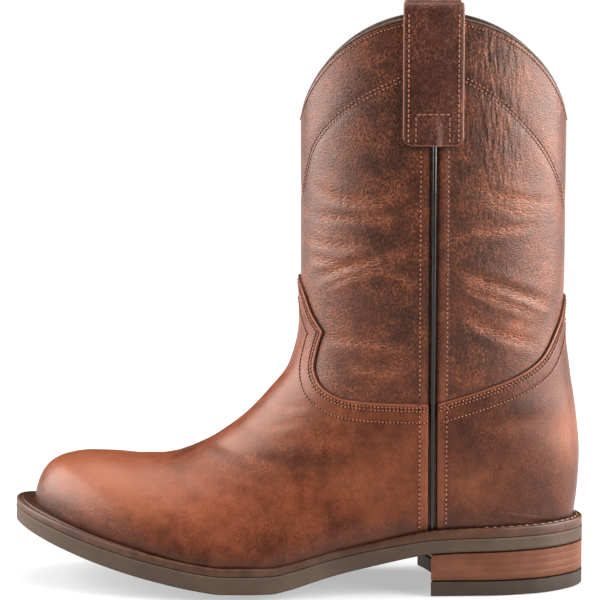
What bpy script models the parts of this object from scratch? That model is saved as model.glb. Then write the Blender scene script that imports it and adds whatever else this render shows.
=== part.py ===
"""Pull-on roper work boot, left foot, as an assembly of the pieces a boot maker puts together.

The toe points to -X, the heel to +X, the outer side of the foot to -Y, and the boot stands on z = 0.
Sizes and tables are in millimetres, and every mesh is written in metres.
"""
import math

import bmesh
import bpy
import numpy as np

MM = 0.001

# Driving sizes of the boot.
SOLE_LENGTH = 303.4
FEATHER_LENGTH = 286.0
FEATHER_SET_BACK = 6.5
SHAFT_FRONT_DIP = 248.5
COLLAR_RISE = 51.8
DIP_ROUND = 0.25
TUCK = math.radians(32)
TUCK_STATION = 0.16
LEATHER = 2.0
OVERLAY = 1.1
GAP = 0.3
HEEL_SEAT_GAP = 0.5
OVERLAY_GAP = 0.4
VAMP_LIFT = 0.6
COUNTER_LIFT = 3.2
WELT_INSET = 8.0
INSOLE_INSET = 4.8
INSOLE_THICK = 3.0
LIFT_THICK = 8.2
OUTLINE_CENTRE = 1.6
FLAT_SHARE = 0.4
BREAST_OUTER = 71.0
BREAST_INNER = 64.0
BREAST_HOLLOW = 7.0
SEAM_X = 71.5
SEAM_HALF = 1.9
PIPING_RADIUS = 1.1
BINDING_RADIUS = 1.4
STRAP_X = 70.7
STRAP_WIDTH = 30.5
STRAP_THICK = 1.8
STRAP_CLEAR = 1.0
STRAP_BOTTOM = 236.0
STRAP_INSIDE_BOTTOM = 262.0
STRAP_TOP = 308.6

# Mesh divisions, and the rows at which the foot part and the toe part of the upper start.
FOOT_START = 0.095
TOE_START = 0.90
SHAFT_ROWS = 6
FOOT_ROWS = ((FOOT_START, 0.40, 9), (0.40, 0.65, 12), (0.65, 1.00, 9))
SIDE_COLUMNS = 14
SOLE_STATIONS = 38
SOLE_ACROSS = (-1.0, -0.88, -0.74, -0.4, 0.0, 0.4, 0.74, 0.88, 1.0)
INSOLE_ACROSS = (-1.0, -0.6, 0.0, 0.6, 1.0)
HEEL_STATIONS = 12
HEEL_COLUMNS = 8
EDGE_STEPS = 3
WELT_LINE_STEPS = 60
TURN_SEARCH = 401
PIPING_POINTS = 20
STRAP_ROWS = 6
STRAP_COLUMNS = 5
WELD = 0.00002
SHARP_ANGLE = math.radians(40)

# Plan of the sole: station along the length (0 heel, 1 toe), sideways place of the middle,
# half width of the sole, and half width of the upper where it meets the welt.
PLAN_COLUMNS = ("station", "middle", "sole", "feather")
PLAN = (
    (0.000, 2.0, 0.0, 0.0),
    (0.060, 1.9, 9.9, 8.9),
    (0.108, 1.7, 17.5, 15.8),
    (0.192, 1.4, 29.5, 26.2),
    (0.271, 0.5, 34.9, 30.9),
    (0.347, -1.4, 35.2, 31.2),
    (0.437, -3.0, 34.0, 30.9),
    (0.490, -3.3, 41.0, 36.8),
    (0.551, -3.0, 49.6, 44.9),
    (0.607, -1.8, 51.0, 46.3),
    (0.665, 0.0, 49.8, 45.2),
    (0.735, 1.8, 44.6, 40.2),
    (0.805, 3.0, 36.4, 31.8),
    (0.874, 3.9, 25.0, 21.2),
    (0.930, 4.3, 14.2, 12.1),
    (1.000, 4.5, 0.0, 0.0),
)

# Side view of the sole: place along the length, height of the underside in the middle,
# how far the edge lifts above the middle, thickness of the outsole and of the welt.
PROFILE_COLUMNS = ("x", "under", "edge_lift", "outsole", "welt")
PROFILE = (
    (-152.0, 32.4, 0.0, 7.6, 3.6),
    (-124.0, 22.4, 0.8, 8.8, 4.0),
    (-101.0, 14.5, 1.7, 9.2, 4.0),
    (-74.0, 6.6, 3.0, 9.3, 4.0),
    (-50.0, 1.5, 3.5, 9.3, 4.0),
    (-37.5, 0.0, 3.5, 9.3, 4.0),
    (-12.4, 0.0, 3.3, 9.3, 4.0),
    (-3.0, 1.7, 3.0, 9.2, 4.0),
    (10.0, 5.9, 2.2, 9.0, 4.0),
    (29.0, 11.7, 1.0, 8.7, 4.0),
    (62.0, 20.7, 0.0, 7.4, 4.4),
    (71.0, 22.4, 0.0, 7.0, 4.8),
    (96.0, 23.5, 0.0, 7.0, 5.0),
    (152.0, 24.2, 0.0, 7.0, 5.2),
)

# Sections of the upper, from the collar down the shaft and then forward to the toe. Each runs from
# its top point on the front line to its end, on the back line or at a station of the feather line.
SECTION_COLUMNS = ("top_x", "top_z", "back_x", "back_z", "station", "wide", "wide_at", "roundness", "ridge")
SECTIONS = (
    (1.7, 312.0, 140.5, 312.0, 0.000, 42.0, 0.50, 2.10, 0.0),
    (1.7, 236.0, 140.5, 236.0, 0.000, 42.0, 0.50, 2.10, 0.0),
    (1.7, 172.0, 140.5, 170.0, 0.000, 41.5, 0.50, 2.10, 0.0),
    (2.1, 142.0, 139.7, 142.0, 0.000, 40.0, 0.50, 2.10, 0.0),
    (-2.9, 118.3, 142.6, 114.0, 0.000, 38.6, 0.52, 2.10, 0.6),
    (-14.5, 102.3, 146.0, 92.0, 0.000, 38.0, 0.56, 2.10, 1.4),
    (-27.5, 88.6, 147.9, 70.0, 0.000, 37.4, 0.57, 2.20, 2.2),
    (-38.0, 80.5, 147.0, 52.0, 0.000, 36.6, 0.55, 2.30, 2.8),
    (-46.0, 75.3, 145.2, 37.2, 0.000, 36.6, 0.54, 2.25, 3.0),
    (-52.5, 72.0, 145.2, 37.2, 0.120, 36.0, 0.58, 2.40, 3.0),
    (-59.0, 69.2, 145.2, 37.2, 0.240, 35.8, 0.62, 2.40, 2.8),
    (-67.0, 66.7, 145.2, 37.2, 0.360, 36.6, 0.70, 2.30, 2.4),
    (-76.0, 65.6, 145.2, 37.2, 0.450, 40.0, 0.80, 2.20, 1.9),
    (-87.0, 65.6, 145.2, 37.2, 0.510, 44.0, 0.86, 2.10, 1.4),
    (-100.0, 66.5, 145.2, 37.2, 0.550, 46.6, 0.89, 2.10, 1.0),
    (-113.0, 66.8, 145.2, 37.2, 0.580, 47.4, 0.91, 2.05, 0.6),
    (-124.5, 65.0, 145.2, 37.2, 0.600, 47.7, 0.92, 2.00, 0.3),
    (-132.5, 60.8, 145.2, 37.2, 0.610, 47.7, 0.93, 1.95, 0.1),
    (-137.4, 53.5, 145.2, 37.2, 0.617, 47.5, 0.94, 1.92, 0.0),
    (-139.7, 46.8, 145.2, 37.2, 0.621, 47.1, 0.96, 1.90, 0.0),
    (-140.5, 41.0, 145.2, 37.2, 0.625, 46.4, 0.99, 1.90, 0.0),
)

# Upper edges of the vamp and of the counter in side view, from the side seam to the centre line.
# The vamp's edge has a point where its side sweep meets its tongue.
VAMP_SIDE = ((50.0, 103.4), (26.5, 104.7), (17.5, 107.8), (11.5, 113.0), (9.2, 120.3), (10.8, 129.2),
             (14.1, 139.2))
VAMP_TONGUE = ((14.1, 139.2), (8.5, 147.6), (4.5, 158.0), (1.7, 164.5), (0.0, 166.0))
COUNTER_EDGE = ((96.0, 109.6), (116.5, 117.3), (127.0, 124.5), (134.0, 136.2), (139.0, 147.0), (142.0, 156.0))
SEAM_EDGE_Z = 103.4
PRISM_HALF = 90.0
PRISM_REACH = 200.0

COLOURS = {
    "leather": ((0.165, 0.052, 0.026), 0.45),
    "vamp": ((0.190, 0.060, 0.029), 0.42),
    "counter": ((0.175, 0.056, 0.028), 0.42),
    "strap": ((0.105, 0.030, 0.018), 0.50),
    "binding": ((0.060, 0.035, 0.027), 0.60),
    "piping": ((0.050, 0.036, 0.030), 0.45),
    "welt": ((0.200, 0.085, 0.045), 0.55),
    "outsole": ((0.130, 0.095, 0.070), 0.75),
    "stack": ((0.260, 0.095, 0.050), 0.60),
    "lift": ((0.075, 0.055, 0.042), 0.80),
    "insole": ((0.300, 0.190, 0.110), 0.85),
}


def column(table, names, name):
    """One named column of a table as an array."""
    return np.array([row[names.index(name)] for row in table])


def smooth_curve(knots, values, at):
    """Cubic through the knots that never overshoots them, read at the given places."""
    step = np.diff(knots)
    slope = np.diff(values) / step
    inner = np.zeros(len(knots))
    same_way = slope[:-1] * slope[1:] > 0
    first = 2 * step[1:] + step[:-1]
    second = step[1:] + 2 * step[:-1]
    safe = np.where(same_way, slope[:-1] * slope[1:], 1.0)
    mean = (first + second) * safe / np.where(same_way, first * slope[1:] + second * slope[:-1], 1.0)
    inner[1:-1] = np.where(same_way, mean, 0.0)
    inner[0], inner[-1] = slope[0], slope[-1]
    at = np.clip(at, knots[0], knots[-1])
    cell = np.clip(np.searchsorted(knots, at, side="right") - 1, 0, len(step) - 1)
    t = (at - knots[cell]) / step[cell]
    width = step[cell]
    start = (1 + 2 * t) * (1 - t) ** 2 * values[cell] + t * (1 - t) ** 2 * width * inner[cell]
    end = t * t * (3 - 2 * t) * values[cell + 1] + t * t * (t - 1) * width * inner[cell + 1]
    return start + end


def plan(name, station):
    """A column of the sole's plan at a station."""
    return smooth_curve(column(PLAN, PLAN_COLUMNS, "station"), column(PLAN, PLAN_COLUMNS, name), station)


def profile(name, x):
    """A column of the sole's side view at a place along the length."""
    return smooth_curve(column(PROFILE, PROFILE_COLUMNS, "x"), column(PROFILE, PROFILE_COLUMNS, name), x)


def along(length, set_back, station):
    """Place along the length of a station, closely spaced at both ends so that they come out round."""
    return SOLE_LENGTH / 2 - set_back - length * (1 - np.cos(np.pi * station)) / 2


def station_of(x):
    """Station of the sole's plan at a place along the length."""
    share = np.clip((SOLE_LENGTH / 2 - x) / SOLE_LENGTH, 0.0, 1.0)
    return np.arccos(1 - 2 * share) / np.pi


def middle(x):
    """Sideways place of the boot's curved middle line."""
    return plan("middle", station_of(x)) + OUTLINE_CENTRE


def under_height(x, y):
    """Height of the sole's underside: the side view, lifted towards the edges of the forefoot."""
    half = np.maximum(plan("sole", station_of(x)), 1.0)
    out = np.clip((np.abs(y - middle(x)) / half - FLAT_SHARE) / (1 - FLAT_SHARE), 0.0, 1.0)
    return profile("under", x) + profile("edge_lift", x) * out * out


def outsole_top(x, y):
    """Height of the outsole's upper face."""
    return under_height(x, y) + profile("outsole", x)


def welt_top(x, y):
    """Height of the welt's upper face, on which the upper and the insole sit."""
    return outsole_top(x, y) + GAP + profile("welt", x)


def section(name, row):
    """A column of the upper's section table at a place between the rows, 0 at the collar and 1 at the toe."""
    values = column(SECTIONS, SECTION_COLUMNS, name)
    return smooth_curve(np.linspace(0.0, 1.0, len(values)), values, row)


def form(row, turn):
    """Points of the upper's outer face. Turn runs from -1 through 0, the front line, to 1."""
    row, turn = np.broadcast_arrays(np.asarray(row, float), np.asarray(turn, float))
    station = section("station", row)
    feather_x = along(FEATHER_LENGTH, FEATHER_SET_BACK, station)
    heel_x = along(FEATHER_LENGTH, FEATHER_SET_BACK, 0.0)
    end_half = plan("feather", station)
    end_x = section("back_x", row) + feather_x - heel_x
    side = np.sign(turn)
    end_y = middle(end_x) + side * end_half
    heel_z = welt_top(heel_x, middle(heel_x))
    end_z = section("back_z", row) + welt_top(end_x, end_y) - heel_z
    part = np.abs(turn)
    last_angle = np.pi / 2 - TUCK * np.clip(station / TUCK_STATION, 0.0, 1.0)
    angle = np.where(part < 0.5, part * np.pi, (2 * part - 1) * last_angle)
    power = 2.0 / section("roundness", row)
    rise = np.abs(np.sin(angle)) ** power
    fall = np.abs(np.cos(angle)) ** power
    last_rise, last_fall = np.sin(last_angle) ** power, np.abs(np.cos(last_angle)) ** power
    wide, wide_at = section("wide", row), section("wide_at", row)
    chord = np.where(part < 0.5, wide_at * (1 - fall), wide_at + (1 - wide_at) * rise / last_rise)
    low_half = end_half + (wide - end_half) * (fall - last_fall) / (1 - last_fall)
    half = np.where(part < 0.5, wide * rise, low_half)
    x = section("top_x", row) + (end_x - section("top_x", row)) * chord
    z = section("top_z", row) + (end_z - section("top_z", row)) * chord
    y = middle(x) + section("ridge", row) * (1 - chord) ** 2 + side * half
    drop = np.clip((row - TOE_START) / (1 - TOE_START), 0.0, 1.0) ** 2
    seat = welt_top(x, y) + GAP
    return np.stack([x, y, z + drop * (seat - z)], -1)


def side_normal(row, turn):
    """Outward unit normals of the upper's outer face, each worked out on its own side."""
    small = 1e-3
    down = form(np.clip(row + small, 0, 1), turn) - form(np.clip(row - small, 0, 1), turn)
    inside = np.clip(turn, -1 + small, 1 - small)
    across = form(row, inside + small) - form(row, inside - small)
    normal = np.cross(across, down)
    return normal / np.maximum(np.linalg.norm(normal, axis=-1, keepdims=True), 1e-9)


def form_normal(row, turn):
    """Outward unit normals of the upper's outer face, shared by both sides where they meet at the back."""
    row, turn = np.broadcast_arrays(np.asarray(row, float), np.asarray(turn, float))
    on_back = (np.abs(turn) >= 1) & (section("station", row) <= 0)
    normal = side_normal(row, turn)
    normal = np.where(on_back[..., None], normal + side_normal(row, -turn), normal)
    return normal / np.linalg.norm(normal, axis=-1, keepdims=True)


def form_offset(row, turn, distance):
    """Points at a distance outside the upper's outer face."""
    return form(row, turn) + distance * form_normal(row, turn)


def collar_row(turn):
    """Row at which the shaft is cut: a dip at the front and the back, an arch at each side."""
    arch = np.sqrt(np.sin(np.pi * turn) ** 2 + DIP_ROUND ** 2) - DIP_ROUND
    return row_at(SHAFT_FRONT_DIP + COLLAR_RISE * arch / (math.sqrt(1 + DIP_ROUND ** 2) - DIP_ROUND))


def row_at(z):
    """Row of the shaft at a height."""
    rows = np.linspace(0.0, FOOT_START, TURN_SEARCH)
    return np.interp(-z, -form(rows, 0.0)[:, 2], rows)


def new_material(name):
    """Principled material in the colour and roughness of one of the boot's materials."""
    colour, roughness = COLOURS[name]
    material = bpy.data.materials.new(name)
    material.use_nodes = True
    shader = material.node_tree.nodes["Principled BSDF"]
    shader.inputs["Base Color"].default_value = (*colour, 1.0)
    shader.inputs["Roughness"].default_value = roughness
    shader.inputs["Metallic"].default_value = 0.0
    return material


def add_mesh(name, collection, points, faces, material, closed=True):
    """Object with welded faces, from points in millimetres. A closed one has its faces turned outward."""
    mesh = bpy.data.meshes.new(name)
    mesh.from_pydata((np.asarray(points) * MM).tolist(), [], [list(face) for face in faces])
    work = bmesh.new()
    work.from_mesh(mesh)
    bmesh.ops.remove_doubles(work, verts=work.verts, dist=WELD)
    if closed:
        bmesh.ops.recalc_face_normals(work, faces=work.faces)
    work.to_mesh(mesh)
    work.free()
    mesh.shade_smooth()
    mesh.set_sharp_from_angle(angle=SHARP_ANGLE)
    item = bpy.data.objects.new(name, mesh)
    item.data.materials.append(material)
    collection.objects.link(item)
    return item


def grid_faces(rows, columns, start=0, flip=False):
    """Four-cornered faces of a grid of points, row by row."""
    faces = []
    for i in range(rows - 1):
        for j in range(columns - 1):
            corner = start + i * columns + j
            face = (corner, corner + 1, corner + columns + 1, corner + columns)
            faces.append(face[::-1] if flip else face)
    return faces


def slab(name, collection, top, bottom, material):
    """Closed plate between two grids of points of the same size."""
    rows, columns = top.shape[:2]
    count = rows * columns
    faces = grid_faces(rows, columns) + grid_faces(rows, columns, count, True)
    border = [j for j in range(columns)]
    border += [i * columns + columns - 1 for i in range(1, rows)]
    border += [(rows - 1) * columns + j for j in range(columns - 2, -1, -1)]
    border += [i * columns for i in range(rows - 2, 0, -1)]
    for here, after in zip(border, border[1:] + border[:1]):
        faces.append((after, here, here + count, after + count))
    points = np.concatenate([top.reshape(-1, 3), bottom.reshape(-1, 3)])
    return add_mesh(name, collection, points, faces, material)


def add_solidify(item, thickness, offset):
    """Give an open surface its thickness."""
    wall = item.modifiers.new("thickness", "SOLIDIFY")
    wall.thickness = thickness * MM
    wall.offset = offset
    wall.use_even_offset = True
    wall.use_rim = True
    return wall


def feather_half(x, inset):
    """Half width of the feather line drawn in by an inset, which also comes off both its ends."""
    length = FEATHER_LENGTH - 2 * inset
    heel = SOLE_LENGTH / 2 - FEATHER_SET_BACK - inset
    share = np.clip((heel - x) / length, 0.0, 1.0)
    station = np.arccos(1 - 2 * share) / np.pi
    return np.maximum(plan("feather", station) - inset * np.sin(np.pi * station) ** 0.5, 0.0)


def plan_line(stations, inset=None):
    """Place and half width at stations of the sole's edge, or of the feather line drawn in by an inset."""
    x = along(SOLE_LENGTH, 0.0, stations)
    if inset is None:
        return x, plan("sole", stations)
    heel = SOLE_LENGTH / 2 - FEATHER_SET_BACK - inset
    x = np.clip(x, heel - FEATHER_LENGTH + 2 * inset, heel)
    return x, feather_half(x, inset)


def plate_grid(height, across=SOLE_ACROSS, inset=None):
    """Grid of points over the sole's plan, or the feather's drawn in, at a height given by a function."""
    stations = np.linspace(0.0, 1.0, SOLE_STATIONS + 1)[:, None]
    across = np.array(across)[None, :]
    x, half = plan_line(stations, inset)
    x = x + 0 * across
    y = middle(x) + across * half
    return np.stack([x, y, height(x, y)], -1)


def make_outsole(collection):
    """Rubber outsole: full plan, toe spring, arch and flat tread under the ball."""
    return slab("outsole", collection, plate_grid(outsole_top), plate_grid(under_height), new_material("outsole"))


def plan_loop(inset=None):
    """Closed plan loop, heel to toe along the outer side and back along the inner side."""
    outward = np.linspace(0.0, 1.0, SOLE_STATIONS + 1)
    x, half = plan_line(np.concatenate([outward, outward[-2:0:-1]]), inset)
    sides = np.where(np.arange(len(x)) <= SOLE_STATIONS, -1.0, 1.0)
    return x, middle(x) + sides * half


def make_welt(collection):
    """Welt: a strip all round between the outsole and the upper, its inner edge under the insole."""
    outer_x, outer_y = plan_loop()
    seat_x, seat_y = plan_loop(0.0)
    inner_x, inner_y = plan_loop(WELT_INSET)
    rings = []
    for x, y in ((outer_x, outer_y), (seat_x, seat_y), (inner_x, inner_y)):
        rings.append(np.stack([x, y, welt_top(x, y)], -1))
    for x, y in ((inner_x, inner_y), (seat_x, seat_y), (outer_x, outer_y)):
        rings.append(np.stack([x, y, outsole_top(x, y) + GAP], -1))
    count = len(outer_x)
    faces = []
    for ring in range(len(rings)):
        for i in range(count):
            j = (i + 1) % count
            after = (ring + 1) % len(rings)
            faces.append((ring * count + i, ring * count + j, after * count + j, after * count + i))
    return add_mesh("welt", collection, np.concatenate(rings), faces, new_material("welt"))


def heel_grid(height):
    """Grid over the heel, from its round back to its hollow breast."""
    across = np.linspace(-1.0, 1.0, HEEL_COLUMNS + 1)
    breast = (BREAST_OUTER + BREAST_INNER) / 2 - across * (BREAST_OUTER - BREAST_INNER) / 2
    breast = breast + BREAST_HOLLOW * (1 - across ** 2)
    stations = np.linspace(0.0, 1.0, HEEL_STATIONS + 1)[:, None] * station_of(breast)[None, :]
    x = along(SOLE_LENGTH, 0.0, stations)
    y = middle(x) + across[None, :] * plan("sole", stations)
    return np.stack([x, y, height(x, y) + 0 * x], -1)


def make_heel(collection):
    """Leather heel stack and the rubber lift below it."""
    stack = slab("heel_stack", collection, heel_grid(lambda x, y: under_height(x, y) - HEEL_SEAT_GAP),
                 heel_grid(lambda x, y: LIFT_THICK + GAP), new_material("stack"))
    lift = slab("heel_lift", collection, heel_grid(lambda x, y: LIFT_THICK),
                heel_grid(lambda x, y: 0.0), new_material("lift"))
    return stack, lift


def make_insole(collection):
    """Insole board on the welt's inner edge, inside the upper."""
    top = plate_grid(lambda x, y: welt_top(x, y) + GAP + INSOLE_THICK, INSOLE_ACROSS, INSOLE_INSET)
    bottom = plate_grid(lambda x, y: welt_top(x, y) + GAP, INSOLE_ACROSS, INSOLE_INSET)
    return slab("insole", collection, top, bottom, new_material("insole"))


def form_sheet(name, collection, rows, distance, material):
    """Open sheet over the form, at a distance outside it, through the given rows."""
    turns = np.linspace(-1.0, 1.0, 2 * SIDE_COLUMNS + 1)[None, :]
    points = form_offset(rows, turns + 0 * rows, distance)
    return add_mesh(name, collection, points.reshape(-1, 3), grid_faces(*points.shape[:2]), material, False)


def foot_rows():
    """Rows that the upper and its overlays share, from above the vamp's tip to the feather line."""
    stretches = [np.linspace(first, last, count + 1)[:-1] for first, last, count in FOOT_ROWS]
    return np.concatenate([*stretches, [1.0]])[:, None]


def make_upper(collection):
    """Upper: one hollow wall over the last's form, open at the collar and underneath."""
    turns = np.linspace(-1.0, 1.0, 2 * SIDE_COLUMNS + 1)[None, :]
    share = np.linspace(0.0, 1.0, SHAFT_ROWS + 1)[:-1, None]
    shaft = collar_row(turns) * (1 - share) + FOOT_START * share
    rows = np.concatenate([shaft, foot_rows() + 0 * turns])
    upper = form_sheet("upper", collection, rows, 0.0, new_material("leather"))
    add_solidify(upper, LEATHER, -1.0)
    return upper


def smooth_line(points):
    """Smooth side-view line through a few points."""
    points = np.array(points)
    run = np.concatenate([[0.0], np.cumsum(np.linalg.norm(np.diff(points, axis=0), axis=1))])
    at = np.linspace(0.0, run[-1], EDGE_STEPS * (len(points) - 1) + 1)
    return np.stack([smooth_curve(run, points[:, 0], at), smooth_curve(run, points[:, 1], at)], -1)


def welt_line(first, last, clearance):
    """Side-view line a little above the welt, where an overlay stops."""
    x = np.linspace(first, last, WELT_LINE_STEPS)
    edge = middle(x) - feather_half(x, 0.0) - OVERLAY_GAP - OVERLAY
    return np.stack([x, welt_top(x, edge) + clearance], -1)


def make_prism(name, collection, outline):
    """Cutter: a side-view outline carried through the whole width of the boot."""
    work = bmesh.new()
    corners = [work.verts.new((x * MM, -PRISM_HALF * MM, z * MM)) for x, z in outline]
    flat = work.faces.new(corners)
    carried = bmesh.ops.extrude_face_region(work, geom=[flat])["geom"]
    moved = [item for item in carried if isinstance(item, bmesh.types.BMVert)]
    bmesh.ops.translate(work, verts=moved, vec=(0.0, 2 * PRISM_HALF * MM, 0.0))
    bmesh.ops.recalc_face_normals(work, faces=work.faces)
    mesh = bpy.data.meshes.new(name)
    work.to_mesh(mesh)
    work.free()
    prism = bpy.data.objects.new(name, mesh)
    prism.hide_render = True
    prism.display_type = "WIRE"
    collection.objects.link(prism)
    return prism


def make_overlay(name, collection, cutters, outline):
    """Overlay leather between two larger forms of the upper, cut to its side-view outline."""
    overlay = form_sheet(name, collection, foot_rows(), OVERLAY_GAP, new_material(name))
    add_solidify(overlay, OVERLAY, 1.0)
    cut = overlay.modifiers.new("outline", "BOOLEAN")
    cut.operation = "INTERSECT"
    cut.object = make_prism(name + "_outline", cutters, outline)
    return overlay


def make_overlays(collection, cutters):
    """Vamp in front of the side seams and counter behind them."""
    front, back = SEAM_X - SEAM_HALF, SEAM_X + SEAM_HALF
    vamp_edge = np.concatenate([smooth_line(VAMP_SIDE)[:-1], smooth_line(VAMP_TONGUE)])
    tip = VAMP_TONGUE[-1][1]
    vamp = np.concatenate([[(front, SEAM_EDGE_Z)], vamp_edge, [(-PRISM_REACH, tip)],
                           welt_line(-PRISM_REACH, front, VAMP_LIFT)])
    counter_edge = smooth_line(COUNTER_EDGE)
    crest = COUNTER_EDGE[-1][1]
    counter = np.concatenate([[(back, SEAM_EDGE_Z)], counter_edge, [(PRISM_REACH, crest)],
                              welt_line(PRISM_REACH, back, COUNTER_LIFT)])
    make_overlay("vamp", collection, cutters, vamp)
    make_overlay("counter", collection, cutters, counter)


def turn_at(row, x, side):
    """Turn at which a row passes a place along the length, on one side."""
    turns = np.linspace(0.0, 1.0, TURN_SEARCH)
    return side * np.interp(x, form(row, turns * side)[:, 0], turns)


def make_tube(name, collection, path, radius, closed, material):
    """Round cord along a path."""
    curve = bpy.data.curves.new(name, "CURVE")
    curve.dimensions = "3D"
    curve.bevel_depth = radius * MM
    curve.bevel_resolution = 1
    curve.use_fill_caps = not closed
    spline = curve.splines.new("POLY")
    spline.points.add(len(path) - 1)
    for point, place in zip(spline.points, path):
        point.co = (*(np.asarray(place) * MM), 1.0)
    spline.use_cyclic_u = closed
    curve.materials.append(material)
    tube = bpy.data.objects.new(name, curve)
    collection.objects.link(tube)
    return tube


def make_binding(collection):
    """Bead along the collar's top line."""
    turns = np.linspace(-1.0, 1.0, 2 * SIDE_COLUMNS + 1)[:-1]
    rows = collar_row(turns)
    edge = form(rows, turns)
    normal = form_normal(rows, turns)
    line = np.roll(edge, -1, axis=0) - np.roll(edge, 1, axis=0)
    line = line / np.linalg.norm(line, axis=1, keepdims=True)
    rise = np.cross(normal, line)
    rise = rise * np.sign(rise[:, 2:])
    path = edge - LEATHER / 2 * normal + (GAP + BINDING_RADIUS) * rise
    return make_tube("collar_binding", collection, path, BINDING_RADIUS, True, new_material("binding"))


def make_piping(name, collection, side):
    """Cord in a side seam, from the strap's lower end to the welt."""
    rows = np.linspace(0.0, 1.0, TURN_SEARCH)
    ends = form(rows, side)[:, 0]
    last = rows[np.argmax((ends < SEAM_X) & (rows > FOOT_START))]
    path = []
    for row in np.linspace(row_at(STRAP_BOTTOM - GAP), last, PIPING_POINTS):
        turn = turn_at(row, SEAM_X, side)
        path.append(form_offset(row, turn, GAP + PIPING_RADIUS))
    path = [point for point in path if point[2] > welt_top(point[0], point[1]) + PIPING_RADIUS]
    return make_tube(name, collection, path, PIPING_RADIUS, False, new_material("piping"))


def make_strap(name, collection, side):
    """Pull strap folded over the collar, stitched flat to the shaft outside and inside."""
    outside = STRAP_CLEAR + STRAP_THICK / 2
    inside = -LEATHER - outside
    radius = (outside - inside) / 2
    bend_z = STRAP_TOP - STRAP_THICK / 2 - radius
    legs = [(z, outside) for z in np.linspace(STRAP_BOTTOM, bend_z, STRAP_ROWS)]
    arc = np.linspace(0.0, math.pi, STRAP_ROWS)[1:-1]
    legs += [(bend_z + radius * math.sin(a), inside + radius * (1 + math.cos(a))) for a in arc]
    legs += [(z, inside) for z in np.linspace(bend_z, STRAP_INSIDE_BOTTOM, STRAP_ROWS - 1)]
    columns = []
    for x in np.linspace(STRAP_X - STRAP_WIDTH / 2, STRAP_X + STRAP_WIDTH / 2, STRAP_COLUMNS):
        line = []
        for z, distance in legs:
            row = row_at(z)
            line.append(form_offset(row, turn_at(row, x, side), distance))
        columns.append(line)
    points = np.array(columns)
    faces = grid_faces(*points.shape[:2])
    strap = add_mesh(name, collection, points.reshape(-1, 3), faces, new_material("strap"), False)
    add_solidify(strap, STRAP_THICK, 0.0)
    return strap


def main():
    """Remove the scene's objects and build the boot."""
    for item in list(bpy.data.objects):
        bpy.data.objects.remove(item)
    boot = bpy.data.collections.new("work_boot")
    cutters = bpy.data.collections.new("cutters")
    for group in (boot, cutters):
        bpy.context.scene.collection.children.link(group)
    make_outsole(boot)
    make_welt(boot)
    make_heel(boot)
    make_insole(boot)
    make_upper(boot)
    make_overlays(boot, cutters)
    make_binding(boot)
    for place, side in (("outer", -1), ("inner", 1)):
        make_piping("side_piping_" + place, boot, side)
        make_strap("pull_strap_" + place, boot, side)


main()
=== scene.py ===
"""Looks of a pull-on roper work boot: its leathers, seams, sole and studio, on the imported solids' frame.

Shapes are worked out in millimetres from the same short tables as the solids, and written in metres.
The toe points to -X, the heel to +X, and the outer side of the foot to -Y.
"""
import logging
import math
from collections.abc import Callable
from dataclasses import dataclass, field
from enum import Enum

import bmesh
import bpy
import numpy as np
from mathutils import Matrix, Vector


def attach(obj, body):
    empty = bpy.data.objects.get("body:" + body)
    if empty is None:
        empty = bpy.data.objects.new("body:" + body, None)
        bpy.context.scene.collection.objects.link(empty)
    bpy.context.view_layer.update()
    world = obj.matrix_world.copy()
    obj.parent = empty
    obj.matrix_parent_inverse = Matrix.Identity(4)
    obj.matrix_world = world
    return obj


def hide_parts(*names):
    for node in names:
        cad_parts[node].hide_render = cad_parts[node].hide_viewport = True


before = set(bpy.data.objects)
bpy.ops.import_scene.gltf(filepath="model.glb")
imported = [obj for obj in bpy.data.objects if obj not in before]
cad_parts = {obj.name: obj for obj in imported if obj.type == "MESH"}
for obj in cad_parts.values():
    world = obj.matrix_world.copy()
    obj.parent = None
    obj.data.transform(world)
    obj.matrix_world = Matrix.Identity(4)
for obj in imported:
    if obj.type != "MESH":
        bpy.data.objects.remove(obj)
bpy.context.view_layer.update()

LOG = logging.getLogger("work_boot")
MM = 0.001
# Place of the side seams along the length, in millimetres.
SEAM_X = 71.5
SHARP_ANGLE = math.radians(50)
Array = np.ndarray
Triple = tuple[float, float, float]
Colour = Triple
Point2 = tuple[float, float]


class Side(Enum):
    """Side of the foot, with the sign of its turn round the form."""

    OUTER = -1
    INNER = 1


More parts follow.
